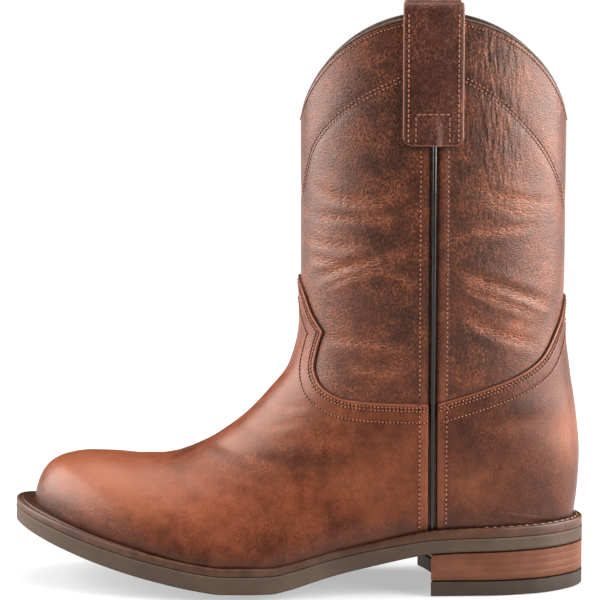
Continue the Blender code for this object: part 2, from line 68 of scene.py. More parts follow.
class Table:
    """Short table with named columns, each read as a smooth curve along its first column.

    The curve is a cubic from row to row. Its slope at a row is the weighted harmonic mean of the
    slopes on both sides, and zero at a turning point, so it never overshoots the rows.
    """

    def __init__(self, names: str, rows: tuple[tuple[float, ...], ...], even: bool = False) -> None:
        """Keep the columns and work out their slopes.

        Args:
            names: Column names, split by spaces.
            rows: One tuple for each row.
            even: Read along evenly spaced rows from 0 to 1 in place of the first column.
        """
        values = np.array(rows, float)
        self.columns = dict(zip(names.split(), values.T))
        self.knots = np.linspace(0.0, 1.0, len(rows)) if even else values[:, 0]
        self.slopes = {name: self._slopes(self.knots, column) for name, column in self.columns.items()}

    @staticmethod
    def _slopes(knots: Array, values: Array) -> Array:
        """Slope of the curve at each row.

        Args:
            knots: Places of the rows.
            values: Values of the rows.

        Returns:
            One slope for each row.
        """
        step = np.diff(knots)
        slope = np.diff(values) / step
        result = np.zeros(len(knots))
        same_way = slope[:-1] * slope[1:] > 0
        first = 2 * step[1:] + step[:-1]
        second = step[1:] + 2 * step[:-1]
        top = np.where(same_way, (first + second) * slope[:-1] * slope[1:], 0.0)
        result[1:-1] = top / np.where(same_way, first * slope[1:] + second * slope[:-1], 1.0)
        result[0], result[-1] = slope[0], slope[-1]
        return result

    def read(self, name: str, at: Array | float) -> Array:
        """One column at any places.

        Args:
            name: The column.
            at: Places along the knots.

        Returns:
            The curve's values there.
        """
        values, slopes = self.columns[name], self.slopes[name]
        at = np.clip(at, self.knots[0], self.knots[-1])
        cell = np.clip(np.searchsorted(self.knots, at, side="right") - 1, 0, len(self.knots) - 2)
        width = self.knots[cell + 1] - self.knots[cell]
        t = (at - self.knots[cell]) / width
        start = (1 + 2 * t) * (1 - t) ** 2 * values[cell] + t * (1 - t) ** 2 * width * slopes[cell]
        return start + t * t * (3 - 2 * t) * values[cell + 1] + t * t * (t - 1) * width * slopes[cell + 1]


# Plan of the sole: station (0 heel, 1 toe), place of the middle, half widths of sole and feather line.
PLAN = Table("station middle sole feather", (
    (0.000, 2.0, 0.0, 0.0),
    (0.060, 1.9, 9.9, 8.9),
    (0.108, 1.7, 17.5, 15.8),
    (0.192, 1.4, 29.5, 26.2),
    (0.271, 0.5, 34.9, 30.9),
    (0.347, -1.4, 35.2, 31.2),
    (0.437, -3.0, 34.0, 30.9),
    (0.490, -3.3, 41.0, 36.8),
    (0.551, -3.0, 49.6, 44.9),
    (0.607, -1.8, 51.0, 46.3),
    (0.665, 0.0, 49.8, 45.2),
    (0.735, 1.8, 44.6, 40.2),
    (0.805, 3.0, 36.4, 31.8),
    (0.874, 3.9, 25.0, 21.2),
    (0.930, 4.3, 14.2, 12.1),
    (1.000, 4.5, 0.0, 0.0),
))

# Side view of the sole: place, height of the underside, lift of its edge, thickness of outsole and welt.
PROFILE = Table("x under edge_lift outsole welt", (
    (-152.0, 32.4, 0.0, 7.6, 3.6),
    (-124.0, 22.4, 0.8, 8.8, 4.0),
    (-101.0, 14.5, 1.7, 9.2, 4.0),
    (-74.0, 6.6, 3.0, 9.3, 4.0),
    (-50.0, 1.5, 3.5, 9.3, 4.0),
    (-37.5, 0.0, 3.5, 9.3, 4.0),
    (-12.4, 0.0, 3.3, 9.3, 4.0),
    (-3.0, 1.7, 3.0, 9.2, 4.0),
    (10.0, 5.9, 2.2, 9.0, 4.0),
    (29.0, 11.7, 1.0, 8.7, 4.0),
    (62.0, 20.7, 0.0, 7.4, 4.4),
    (71.0, 22.4, 0.0, 7.0, 4.8),
    (96.0, 23.5, 0.0, 7.0, 5.0),
    (152.0, 24.2, 0.0, 7.0, 5.2),
))

# Sections of the upper from the collar down and forward to the toe.
SECTIONS = Table("top_x top_z back_x back_z station wide wide_at roundness ridge", (
    (1.7, 312.0, 140.5, 312.0, 0.000, 42.0, 0.50, 2.10, 0.0),
    (1.7, 236.0, 140.5, 236.0, 0.000, 42.0, 0.50, 2.10, 0.0),
    (1.7, 172.0, 140.5, 170.0, 0.000, 41.5, 0.50, 2.10, 0.0),
    (2.1, 142.0, 139.7, 142.0, 0.000, 40.0, 0.50, 2.10, 0.0),
    (-2.9, 118.3, 142.6, 114.0, 0.000, 38.6, 0.52, 2.10, 0.6),
    (-14.5, 102.3, 146.0, 92.0, 0.000, 38.0, 0.56, 2.10, 1.4),
    (-27.5, 88.6, 147.9, 70.0, 0.000, 37.4, 0.57, 2.20, 2.2),
    (-38.0, 80.5, 147.0, 52.0, 0.000, 36.6, 0.55, 2.30, 2.8),
    (-46.0, 75.3, 145.2, 37.2, 0.000, 36.6, 0.54, 2.25, 3.0),
    (-52.5, 72.0, 145.2, 37.2, 0.120, 36.0, 0.58, 2.40, 3.0),
    (-59.0, 69.2, 145.2, 37.2, 0.240, 35.8, 0.62, 2.40, 2.8),
    (-67.0, 66.7, 145.2, 37.2, 0.360, 36.6, 0.70, 2.30, 2.4),
    (-76.0, 65.6, 145.2, 37.2, 0.450, 40.0, 0.80, 2.20, 1.9),
    (-87.0, 65.6, 145.2, 37.2, 0.510, 44.0, 0.86, 2.10, 1.4),
    (-100.0, 66.5, 145.2, 37.2, 0.550, 46.6, 0.89, 2.10, 1.0),
    (-113.0, 66.8, 145.2, 37.2, 0.580, 47.4, 0.91, 2.05, 0.6),
    (-124.5, 65.0, 145.2, 37.2, 0.600, 47.7, 0.92, 2.00, 0.3),
    (-132.5, 60.8, 145.2, 37.2, 0.610, 47.7, 0.93, 1.95, 0.1),
    (-137.4, 53.5, 145.2, 37.2, 0.617, 47.5, 0.94, 1.92, 0.0),
    (-139.7, 46.8, 145.2, 37.2, 0.621, 47.1, 0.96, 1.90, 0.0),
    (-140.5, 41.0, 145.2, 37.2, 0.625, 46.4, 0.99, 1.90, 0.0),
), even=True)

# Lines of the outer side in side view: overlay edges, and the yoke's arc in front of and behind the strap.
VAMP_TONGUE = ((1.75, 165.4), (1.9, 164.6), (2.6, 162.5), (4.9, 157.6), (9.4, 146.8), (15.2, 138.1))
VAMP_SIDE = ((15.2, 138.1), (12.1, 128.0), (10.5, 119.1), (12.7, 111.9), (18.6, 106.8), (27.5, 103.9),
             (50.0, 102.8), (69.6, 102.8))
COUNTER_EDGE = ((73.4, 102.9), (96.0, 109.6), (116.5, 117.3), (127.0, 124.5), (134.0, 136.2), (138.4, 147.0),
                (140.3, 155.5))
YOKE_FRONT = ((2.6, 208.0), (5.2, 221.5), (8.7, 233.4), (17.7, 246.4), (33.6, 259.0), (54.5, 269.8))
YOKE_BACK = ((86.5, 269.4), (92.1, 266.6), (104.8, 258.1), (118.4, 244.6), (129.3, 230.3), (136.8, 214.0),
             (140.0, 201.0))


def smooth_line(points: tuple[Point2, ...], steps: int = 24) -> Array:
    """Smooth side-view line through a few points, each coordinate a cubic along the chords' length.

    Args:
        points: Points (x, z) of the line.
        steps: Pieces between one point and the next.

    Returns:
        Points of the line, one row each.
    """
    places = np.array(points)
    run = run_of(places)
    curve = Table("run x z", tuple(zip(run, places[:, 0], places[:, 1])))
    at = np.linspace(0.0, run[-1], steps * (len(places) - 1) + 1)
    return np.stack([curve.read("x", at), curve.read("z", at)], -1)


def unit(vectors: Array) -> Array:
    """Vectors of length 1 in the same directions."""
    return vectors / np.maximum(np.linalg.norm(vectors, axis=-1, keepdims=True), 1e-9)


def smooth_step(low: float, high: float, value: Array) -> Array:
    """0 below low, 1 above high, and 3 t^2 - 2 t^3 between them."""
    t = np.clip((value - low) / (high - low), 0.0, 1.0)
    return t * t * (3 - 2 * t)


def run_of(points: Array) -> Array:
    """Length of a path up to each of its points."""
    return np.concatenate([[0.0], np.cumsum(np.linalg.norm(np.diff(points, axis=0), axis=1))])


def reach(points: Array, line: Array) -> Array:
    """Distance of points to the nearest point of a line.

    Args:
        points: Points in the last axis.
        line: Points of the line, one row each.

    Returns:
        One distance for each point.
    """
    flat = points.reshape(-1, line.shape[1])
    square = (flat ** 2).sum(1)[:, None] + (line ** 2).sum(1)[None] - 2 * flat @ line.T
    return np.sqrt(np.maximum(square.min(1), 0.0)).reshape(points.shape[:-1])


def spread(values: Array, points: Array, shares: Array) -> Array:
    """Read a path's values at shares of its length.

    Args:
        values: One row of values for each point of the path.
        points: The path's points in space.
        shares: Shares of the length, from 0 to 1.

    Returns:
        One row of values for each share.
    """
    run = run_of(points)
    at = shares * run[-1]
    return np.stack([np.interp(at, run, values[:, k]) for k in range(values.shape[1])], -1)


@dataclass(frozen=True)
class Last:
    """The form that the upper is pulled over, and the sole's faces under it."""

    sole_length: float = 303.4
    feather_length: float = 286.0
    set_back: float = 6.5
    dip: float = 248.5
    collar_rise: float = 51.8
    dip_round: float = 0.25
    tuck: float = math.radians(32)
    tuck_station: float = 0.16
    gap: float = 0.3
    outline_centre: float = 1.6
    flat_share: float = 0.4
    toe_start: float = 0.90
    shaft_end: float = 0.095
    heel_seat: float = 0.40
    leather: float = 2.0
    last_row: float = 0.85
    halvings: int = 40

    def along(self, station: Array) -> Array:
        """Place of a station of the feather line: half a cosine wave from heel to toe."""
        return self.sole_length / 2 - self.set_back - self.feather_length * (1 - np.cos(np.pi * station)) / 2

    def edge_at(self, station: Array) -> Array:
        """Place of a station of the sole's edge, by the same wave."""
        return self.sole_length / 2 - self.sole_length * (1 - np.cos(np.pi * station)) / 2

    def station_of(self, x: Array) -> Array:
        """Station of the sole's plan at a place, by undoing the cosine."""
        share = np.clip((self.sole_length / 2 - x) / self.sole_length, 0.0, 1.0)
        return np.arccos(1 - 2 * share) / np.pi

    def middle(self, x: Array) -> Array:
        """Sideways place of the curved middle line."""
        return PLAN.read("middle", self.station_of(x)) + self.outline_centre

    def under(self, x: Array, y: Array) -> Array:
        """Height of the sole's underside: its side view, lifted by a square towards the edges.

        Args:
            x: Places along the length.
            y: Places across it.

        Returns:
            Heights in millimetres.
        """
        half = np.maximum(PLAN.read("sole", self.station_of(x)), 1.0)
        out = np.clip((np.abs(y - self.middle(x)) / half - self.flat_share) / (1 - self.flat_share), 0.0, 1.0)
        return PROFILE.read("under", x) + PROFILE.read("edge_lift", x) * out * out

    def outsole_top(self, x: Array, y: Array) -> Array:
        """Height of the outsole's upper face."""
        return self.under(x, y) + PROFILE.read("outsole", x)

    def welt_top(self, x: Array, y: Array) -> Array:
        """Height of the welt's upper face."""
        return self.outsole_top(x, y) + self.gap + PROFILE.read("welt", x)

    def ends(self, row: Array, side: Array) -> tuple[Array, Array, Array, Array, Array]:
        """Top point and end point of the sections, and the half width at the end.

        Args:
            row: Rows of the sections.
            side: Sign of the side, -1 for the outer one.

        Returns:
            Places and heights of the tops, then of the ends, and the half widths.
        """
        station = SECTIONS.read("station", row)
        heel = self.along(0.0)
        end_x = SECTIONS.read("back_x", row) + self.along(station) - heel
        end_half = PLAN.read("feather", station)
        seat = self.welt_top(heel, self.middle(heel))
        lift = self.welt_top(end_x, self.middle(end_x) + side * end_half) - seat
        end_z = SECTIONS.read("back_z", row) + lift
        return SECTIONS.read("top_x", row), SECTIONS.read("top_z", row), end_x, end_z, end_half

    def arcs(self, row: Array) -> tuple[Array, Array, Array, Array, Array]:
        """Measures of the sections' arcs.

        Args:
            row: Rows of the sections.

        Returns:
            Half width, its place, the arcs' power and last angle, and the ridge's shift.
        """
        station = SECTIONS.read("station", row)
        last = np.pi / 2 - self.tuck * np.clip(station / self.tuck_station, 0.0, 1.0)
        power = 2.0 / SECTIONS.read("roundness", row)
        return (SECTIONS.read("wide", row), SECTIONS.read("wide_at", row), power, last,
                SECTIONS.read("ridge", row))

    def points(self, row: Array, turn: Array) -> Array:
        """Outer face of the upper.

        Each section is two superellipse quarter arcs a side: from its top point to its widest place,
        and from there to its end on the back line or the feather line. Near the toe the sections
        settle on to the welt with the square of their row.

        Args:
            row: Rows from 0, above the collar, to 1, at the toe.
            turn: Turns from 0 at the front line to -1 on the outer or 1 on the inner side.

        Returns:
            Points in millimetres, in the last axis.
        """
        row, turn = np.broadcast_arrays(np.asarray(row, float), np.asarray(turn, float))
        side, part = np.sign(turn), np.abs(turn)
        top_x, top_z, end_x, end_z, end_half = self.ends(row, side)
        wide, wide_at, power, last, ridge = self.arcs(row)
        angle = np.where(part < 0.5, part * np.pi, (2 * part - 1) * last)
        rise, fall = np.abs(np.sin(angle)) ** power, np.abs(np.cos(angle)) ** power
        last_rise, last_fall = np.sin(last) ** power, np.abs(np.cos(last)) ** power
        chord = np.where(part < 0.5, wide_at * (1 - fall), wide_at + (1 - wide_at) * rise / last_rise)
        low = end_half + (wide - end_half) * (fall - last_fall) / (1 - last_fall)
        half = np.where(part < 0.5, wide * rise, low)
        x = top_x + (end_x - top_x) * chord
        z = top_z + (end_z - top_z) * chord
        y = self.middle(x) + ridge * (1 - chord) ** 2 + side * half
        drop = np.clip((row - self.toe_start) / (1 - self.toe_start), 0.0, 1.0) ** 2
        return np.stack([x, y, z + drop * (self.welt_top(x, y) + self.gap - z)], -1)

    def _side_normals(self, row: Array, turn: Array) -> Array:
        """Cross product of the steps across and down, each on its own side.

        Args:
            row: Rows of the points.
            turn: Turns of the points.

        Returns:
            Unit vectors in the last axis.
        """
        small = 1e-3
        down = self.points(np.clip(row + small, 0, 1), turn) - self.points(np.clip(row - small, 0, 1), turn)
        inside = np.clip(turn, -1 + small, 1 - small)
        across = self.points(row, inside + small) - self.points(row, inside - small)
        return unit(np.cross(across, down))

    def normals(self, row: Array, turn: Array) -> Array:
        """Outward unit normals, shared by both sides on the back line.

        Args:
            row: Rows of the points.
            turn: Turns of the points.

        Returns:
            Unit vectors in the last axis.
        """
        row, turn = np.broadcast_arrays(np.asarray(row, float), np.asarray(turn, float))
        on_back = (np.abs(turn) >= 1) & (row <= self.heel_seat)
        normal = self._side_normals(row, turn)
        return unit(np.where(on_back[..., None], normal + self._side_normals(row, -turn), normal))

    def raised(self, row: Array, turn: Array, height: Array | float) -> Array:
        """Points at a height above the outer face."""
        return self.points(row, turn) + np.asarray(height)[..., None] * self.normals(row, turn)

    def locate(self, x: Array, z: Array, side: Side) -> Array:
        """Rows and turns of side-view points.

        The row is bisected until its line from top to end passes through the point, and the share
        of that line is turned back into the angle of its arc.

        Args:
            x: Places along the length.
            z: Heights.
            side: Side of the boot.

        Returns:
            Pairs (row, turn) in the last axis.
        """
        low, high = np.zeros_like(x), np.full_like(x, self.last_row)
        for _ in range(self.halvings):
            row = (low + high) / 2
            top_x, top_z, end_x, end_z, _ = self.ends(row, side.value)
            chord = np.clip((x - top_x) / (end_x - top_x), 0.0, 1.0)
            above = top_z + (end_z - top_z) * chord > z
            low, high = np.where(above, row, low), np.where(above, high, row)
        _, wide_at, power, last, _ = self.arcs(row)
        first = np.arccos(np.clip(1 - chord / wide_at, 0.0, 1.0) ** (1 / power)) / np.pi
        rise = np.clip((chord - wide_at) / (1 - wide_at), 0.0, 1.0) * np.sin(last) ** power
        second = 0.5 + np.arcsin(np.clip(rise ** (1 / power), 0.0, 1.0)) / last / 2
        part = np.where(chord < wide_at, first, np.minimum(second, 1.0))
        return np.stack([row, side.value * part], -1)

    def row_at(self, z: Array) -> Array:
        """Row of the shaft at a height of its front line."""
        rows = np.linspace(0.0, self.shaft_end, 401)
        return np.interp(-np.asarray(z), -SECTIONS.read("top_z", rows), rows)

    def collar_row(self, turn: Array) -> Array:
        """Row of the collar: a rounded sine that dips at the front and the back.

        Args:
            turn: Turns round the form.

        Returns:
            One row for each turn.
        """
        soft = self.dip_round
        arch = (np.sqrt(np.sin(np.pi * turn) ** 2 + soft ** 2) - soft) / (math.sqrt(1 + soft ** 2) - soft)
        return self.row_at(self.dip + self.collar_rise * arch)


LAST = Last()


@dataclass(frozen=True)
class Crease:
    """Soft fold in side view: its ends, how far it bows, its depth and half width, and its side."""

    start: Point2
    end: Point2
    bow: float
    depth: float
    width: float
    side: Side | None = None
    ridge_at: float = 1.8
    pull_half: float = 1.3
    fade: float = 0.3

    def read(self, points: Array) -> tuple[Array, Array]:
        """Height and share of pulled-up colour at points.

        Across the fold, a bell-shaped trough lies between two low bell-shaped ridges. Along it, the
        height rises from 0 at the first end and falls to 0 at the other.

        Args:
            points: Points on the form.

        Returns:
            Heights in millimetres and shares from 0 to 1.
        """
        span_x, span_z = self.end[0] - self.start[0], self.end[1] - self.start[1]
        t = (points[..., 0] - self.start[0]) / span_x
        line = self.start[1] + span_z * t + self.bow * 4 * t * (1 - t)
        slope = (span_z + self.bow * 4 * (1 - 2 * t)) / span_x
        across = (points[..., 2] - line) / np.sqrt(1 + slope ** 2) / self.width
        fade = smooth_step(0.0, self.fade, t) * (1 - smooth_step(1 - self.fade, 1.0, t))
        if self.side is not None:
            fade = fade * (np.sign(points[..., 1]) == self.side.value)
        ridges = np.exp(-(across - self.ridge_at) ** 2) + np.exp(-(across + self.ridge_at) ** 2)
        height = self.depth * fade * (0.5 * ridges - np.exp(-across ** 2))
        return height, fade * np.exp(-(across / self.pull_half) ** 2)


@dataclass(frozen=True)
class StainAndShade:
    """Darker patch in side view, a real blotch for most and painted shade or light for a few: its centre,
    half sizes and strength, negative where it is paler.
    """

    x: float
    z: float
    wide: float
    high: float
    strength: float

    def read(self, points: Array) -> Array:
        """Bell in both directions, times the strength."""
        return self.strength * np.exp(-((points[..., 0] - self.x) / self.wide) ** 2
                                      - ((points[..., 2] - self.z) / self.high) ** 2)


@dataclass(frozen=True)
class Creases:
    """Folds, blotches and painted shade and light of one leather, its sewn channels and the side seam's
    flanges and groove with painted shade in them, and painted shadow under the strap.
    """

    folds: tuple[Crease, ...]
    stains_and_shade: tuple[StainAndShade, ...] = ()
    channels: tuple[tuple[Point2, ...], ...] = ()
    channel_depth: float = 0.35
    channel_half: float = 1.9
    # How dark the painted shade in the channels' troughs is.
    channel_shade: float = 0.35
    strip_tone: float = -0.35
    strip_half: float = 2.4
    flange: float = 0.45
    flange_at: float = 4.5
    flange_half: float = 2.6
    groove: float = 0.8
    groove_half: float = 1.9
    shade_centre: Point2 = (70.7, 235.2)
    shade_half: float = 14.0
    shade_dark: float = 0.9

    def read(self, points: Array) -> tuple[Array, Array, Array]:
        """Height, share of pulled-up colour, and share of painted shade in grooves and channels and of
        painted shadow under the strap.

        Args:
            points: Points on the form.

        Returns:
            Heights in millimetres and two arrays of shares.
        """
        height, pull = np.zeros(points.shape[:-1]), np.zeros(points.shape[:-1])
        for fold in self.folds:
            rise, share = fold.read(points)
            height, pull = height + rise, np.maximum(pull, share)
        # Painted shade in the channels' troughs, then painted shadow under the strap, gathered in sewn.
        sewn = np.zeros(points.shape[:-1])
        for line in self.channels:
            away = reach(points[..., [0, 2]], smooth_line(line))
            trough = np.exp(-(away / self.channel_half) ** 2)
            height -= self.channel_depth * trough
            sewn = np.maximum(sewn, self.channel_shade * trough)
        # The seam's groove: sunk into the relief and painted dark as shade.
        away = np.abs(points[..., 0] - SEAM_X)
        groove = np.exp(-(away / self.groove_half) ** 4)
        # Painted shadow in a thin band under the strap's lower edge.
        below = np.exp(-(points[..., 2] - self.shade_centre[1]) ** 2)
        under_strap = np.abs(points[..., 0] - self.shade_centre[0]) < self.shade_half
        sewn = np.maximum(sewn, self.shade_dark * below * under_strap)
        flange = np.exp(-((away - self.flange_at) / self.flange_half) ** 4)
        height += self.flange * flange - self.groove * groove
        return height, pull, np.maximum(groove, sewn)

    def tone(self, points: Array) -> Array:
        """Sum of the blotches, with the painted shade and light among them, and of the paler strips beside
        the piping.

        Args:
            points: Points on the form.

        Returns:
            Shares of dark, negative where the leather is paler.
        """
        away = np.abs(points[..., 0] - SEAM_X)
        strips = self.strip_tone * np.exp(-((away - self.flange_at) / self.strip_half) ** 4)
        return sum((stain_and_shade.read(points) for stain_and_shade in self.stains_and_shade), strips)


SHAFT_CREASES = Creases((
    Crease((4.0, 216.0), (64.0, 214.5), -8.0, 0.48, 2.4),
    Crease((10.0, 211.5), (58.0, 211.0), -6.5, 0.31, 1.6),
    Crease((2.0, 199.0), (62.0, 199.5), -1.5, 0.36, 1.9),
    Crease((6.0, 164.0), (64.0, 181.5), 2.5, 0.59, 2.6),
    Crease((12.0, 160.0), (60.0, 174.0), 3.0, 0.35, 1.8),
    Crease((30.0, 178.0), (66.0, 162.0), 0.5, 0.45, 2.2),
    Crease((2.0, 187.0), (36.0, 184.0), -2.0, 0.28, 1.8),
    Crease((4.0, 176.0), (34.0, 171.0), 1.0, 0.28, 1.7),
    Crease((10.0, 135.0), (62.0, 128.0), 2.0, 0.31, 2.8),
    Crease((20.0, 123.0), (64.0, 119.0), -3.0, 0.28, 2.6),
    Crease((84.0, 218.0), (137.0, 205.0), -3.0, 0.45, 2.4),
    Crease((88.0, 211.0), (134.0, 200.0), -3.0, 0.31, 1.8),
    Crease((78.0, 172.0), (137.0, 150.0), 1.0, 0.56, 3.0),
    Crease((80.0, 166.0), (130.0, 146.0), 0.0, 0.34, 2.2),
    Crease((84.0, 194.0), (130.0, 196.0), -3.0, 0.28, 2.0),
    Crease((84.0, 150.0), (128.0, 132.0), -3.0, 0.31, 2.6, Side.OUTER),
), (
    # Painted shade, these first two: the darker middle of the shaft either side of the seam.
    StainAndShade(52.0, 205.0, 26.0, 62.0, 0.55),
    StainAndShade(94.0, 200.0, 20.0, 62.0, 0.35),
    StainAndShade(92.0, 131.0, 17.0, 12.0, 0.8),
    StainAndShade(48.0, 262.0, 15.0, 26.0, 0.5),
    StainAndShade(99.0, 284.0, 16.0, 14.0, 0.6),
    StainAndShade(90.0, 236.0, 14.0, 26.0, 0.45),
    StainAndShade(56.0, 150.0, 14.0, 22.0, 0.45),
    StainAndShade(88.0, 185.0, 12.0, 14.0, 0.5),
    StainAndShade(118.0, 168.0, 10.0, 14.0, 0.3),
    StainAndShade(112.0, 140.0, 13.0, 9.0, -0.5),
    StainAndShade(30.0, 140.0, 12.0, 12.0, -0.2),
), (YOKE_FRONT, YOKE_BACK))
VAMP_CREASES = Creases((
    Crease((-66.0, 60.0), (-20.0, 44.0), 3.0, 0.16, 2.6),
    Crease((-52.0, 66.0), (-6.0, 52.0), 3.0, 0.16, 2.4),
    Crease((-40.0, 72.0), (20.0, 66.0), -2.0, 0.18, 3.0),
    Crease((-24.0, 82.0), (40.0, 84.0), -3.0, 0.16, 3.4),
    Crease((-30.0, 84.0), (6.0, 92.0), -2.0, 0.16, 2.0),
    Crease((-16.0, 96.0), (10.0, 100.0), -1.0, 0.14, 1.8),
), (
    # Paler toe top: partly pull-up, partly painted light from above.
    StainAndShade(-104.0, 60.0, 32.0, 13.0, -0.48),
    # Painted shade on the toe's low front, then along the lower ball.
    StainAndShade(-136.0, 42.0, 22.0, 11.0, 0.70),
    StainAndShade(-62.0, 26.0, 60.0, 11.0, 0.35),
    StainAndShade(-70.0, 46.0, 30.0, 14.0, -0.30),
    StainAndShade(7.0, 72.0, 17.0, 9.0, 0.70),
    StainAndShade(-40.0, 68.0, 18.0, 7.0, 0.30),
    StainAndShade(40.0, 84.0, 26.0, 10.0, 0.15),
    StainAndShade(30.0, 62.0, 26.0, 10.0, -0.25),
    StainAndShade(30.0, 36.0, 50.0, 8.0, 0.30),
))
COUNTER_CREASES = Creases((
    Crease((84.0, 92.0), (136.0, 96.0), -3.0, 0.20, 4.0),
    Crease((90.0, 62.0), (140.0, 70.0), 3.0, 0.16, 5.0),
), (
    StainAndShade(94.0, 90.0, 12.0, 9.0, 0.85),
    StainAndShade(117.0, 99.0, 12.0, 7.0, 0.55),
    StainAndShade(125.0, 66.0, 10.0, 12.0, 0.40),
    StainAndShade(140.0, 84.0, 12.0, 22.0, -0.40),
    StainAndShade(92.0, 60.0, 14.0, 12.0, -0.30),
))


@dataclass
class Shape:
    """Points and faces of a piece on their way to a mesh, with values for its materials."""

    points: list[Array] = field(default_factory=list)
    quads: list[Array] = field(default_factory=list)
    slots: list[Array] = field(default_factory=list)
    values: dict[str, list[Array]] = field(default_factory=dict)
    count: int = 0

    def add_grid(self, points: Array, wrap: bool = False, slot: int = 0, **values: Array | float) -> Array:
        """Add a grid of points, or a stack of grids, and the faces between rows and columns.

        Args:
            points: Points by row and column, and by grid before that for a stack.
            wrap: Join the last column to the first.
            slot: Material slot of its faces.
            **values: One value for each point and name.

        Returns:
            Numbers of the points, by row and column.
        """
        numbers = self.count + np.arange(points[..., 0].size).reshape(points.shape[:-1])
        self.points.append(points.reshape(-1, 3))
        for name, value in values.items():
            self.values.setdefault(name, []).append(np.broadcast_to(value, numbers.shape).reshape(-1))
        self.count += numbers.size
        loop = np.concatenate([numbers, numbers[..., :1]], -1) if wrap else numbers
        width = loop.shape[-1]
        self.join(loop[..., :-1, :].reshape(-1, width), loop[..., 1:, :].reshape(-1, width), slot)
        return numbers

    def join(self, first: Array, second: Array, slot: int = 0) -> None:
        """Add faces between two lines of points, or two stacks of lines.

        Args:
            first: Numbers of the points of one line.
            second: Numbers of the points of the other.
            slot: Material slot of the faces.
        """
        first, second = np.atleast_2d(first), np.atleast_2d(second)
        faces = np.stack([first[:, :-1], first[:, 1:], second[:, 1:], second[:, :-1]], -1).reshape(-1, 4)
        self.quads.append(faces)
        self.slots.append(np.full(len(faces), slot))

    def close(self, first: Array, second: Array, slot: int = 0) -> None:
        """Join the four edges of two grids.

        Args:
            first: Numbers of the points of one grid.
            second: Numbers of the points of the other.
            slot: Material slot of the faces.
        """
        for edge in (np.s_[0], np.s_[-1], np.s_[:, 0], np.s_[:, -1]):
            self.join(first[edge], second[edge], slot)

    def make(self, name: str, materials: list[bpy.types.Material], merge: float = 1e-6) -> bpy.types.Object:
        """Write the mesh, merge doubled points and turn the faces outwards.

        Args:
            name: The piece's name.
            materials: Materials in the order of the slots.
            merge: Distance in metres under which points are one.

        Returns:
            The object, linked to the scene and riding on the root body.
        """
        points, quads = np.concatenate(self.points) * MM, np.concatenate(self.quads)
        mesh = bpy.data.meshes.new(name)
        mesh.vertices.add(len(points))
        mesh.vertices.foreach_set("co", points.astype(np.float32).ravel())
        mesh.loops.add(quads.size)
        mesh.loops.foreach_set("vertex_index", quads.ravel().astype(np.int32))
        mesh.polygons.add(len(quads))
        mesh.polygons.foreach_set("loop_start", np.arange(0, quads.size, 4, dtype=np.int32))
        mesh.polygons.foreach_set("material_index", np.concatenate(self.slots).astype(np.int32))
        for key, parts in self.values.items():
            layer = mesh.attributes.new(key, "FLOAT", "POINT")
            layer.data.foreach_set("value", np.concatenate(parts).astype(np.float32))
        mesh.update(calc_edges=True)
        work = bmesh.new()
        work.from_mesh(mesh)
        bmesh.ops.remove_doubles(work, verts=work.verts, dist=merge)
        bmesh.ops.dissolve_degenerate(work, edges=work.edges, dist=merge)
        bmesh.ops.recalc_face_normals(work, faces=work.faces)
        work.to_mesh(mesh)
        work.free()
        mesh.shade_smooth()
        mesh.set_sharp_from_angle(angle=SHARP_ANGLE)
        piece = bpy.data.objects.new(name, mesh)
        for material in materials:
            mesh.materials.append(material)
        bpy.context.scene.collection.objects.link(piece)
        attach(piece, "root")
        LOG.info("%s: %d faces", name, len(mesh.polygons))
        return piece


class Value:
    """One output of a shader node. Arithmetic on it adds Math nodes."""

    def __init__(self, paint: "Paint", socket: bpy.types.NodeSocket) -> None:
        """Keep the material and the socket."""
        self.paint, self.socket = paint, socket

    def _math(self, operation: str, first: "Value | float", second: "Value | float") -> "Value":
        """Math node of two values."""
        return self.paint.node("ShaderNodeMath", {"operation": operation}, {0: first, 1: second})

    def __add__(self, other: "Value | float") -> "Value":
        """Sum."""
        return self._math("ADD", self, other)

    __radd__ = __add__

    def __sub__(self, other: "Value | float") -> "Value":
        """Difference."""
        return self._math("SUBTRACT", self, other)

    def __mul__(self, other: "Value | float") -> "Value":
        """Product."""
        return self._math("MULTIPLY", self, other)

    def most(self, other: "Value | float") -> "Value":
        """The larger of two."""
        return self._math("MAXIMUM", self, other)

    def step(self, low: float, high: float) -> "Value":
        """Smooth step from 0 at low to 1 at high, or falling where high is below low."""
        return self.paint.node("ShaderNodeMapRange", {"interpolation_type": "SMOOTHSTEP"},
                               {"Value": self, "From Min": low, "From Max": high})


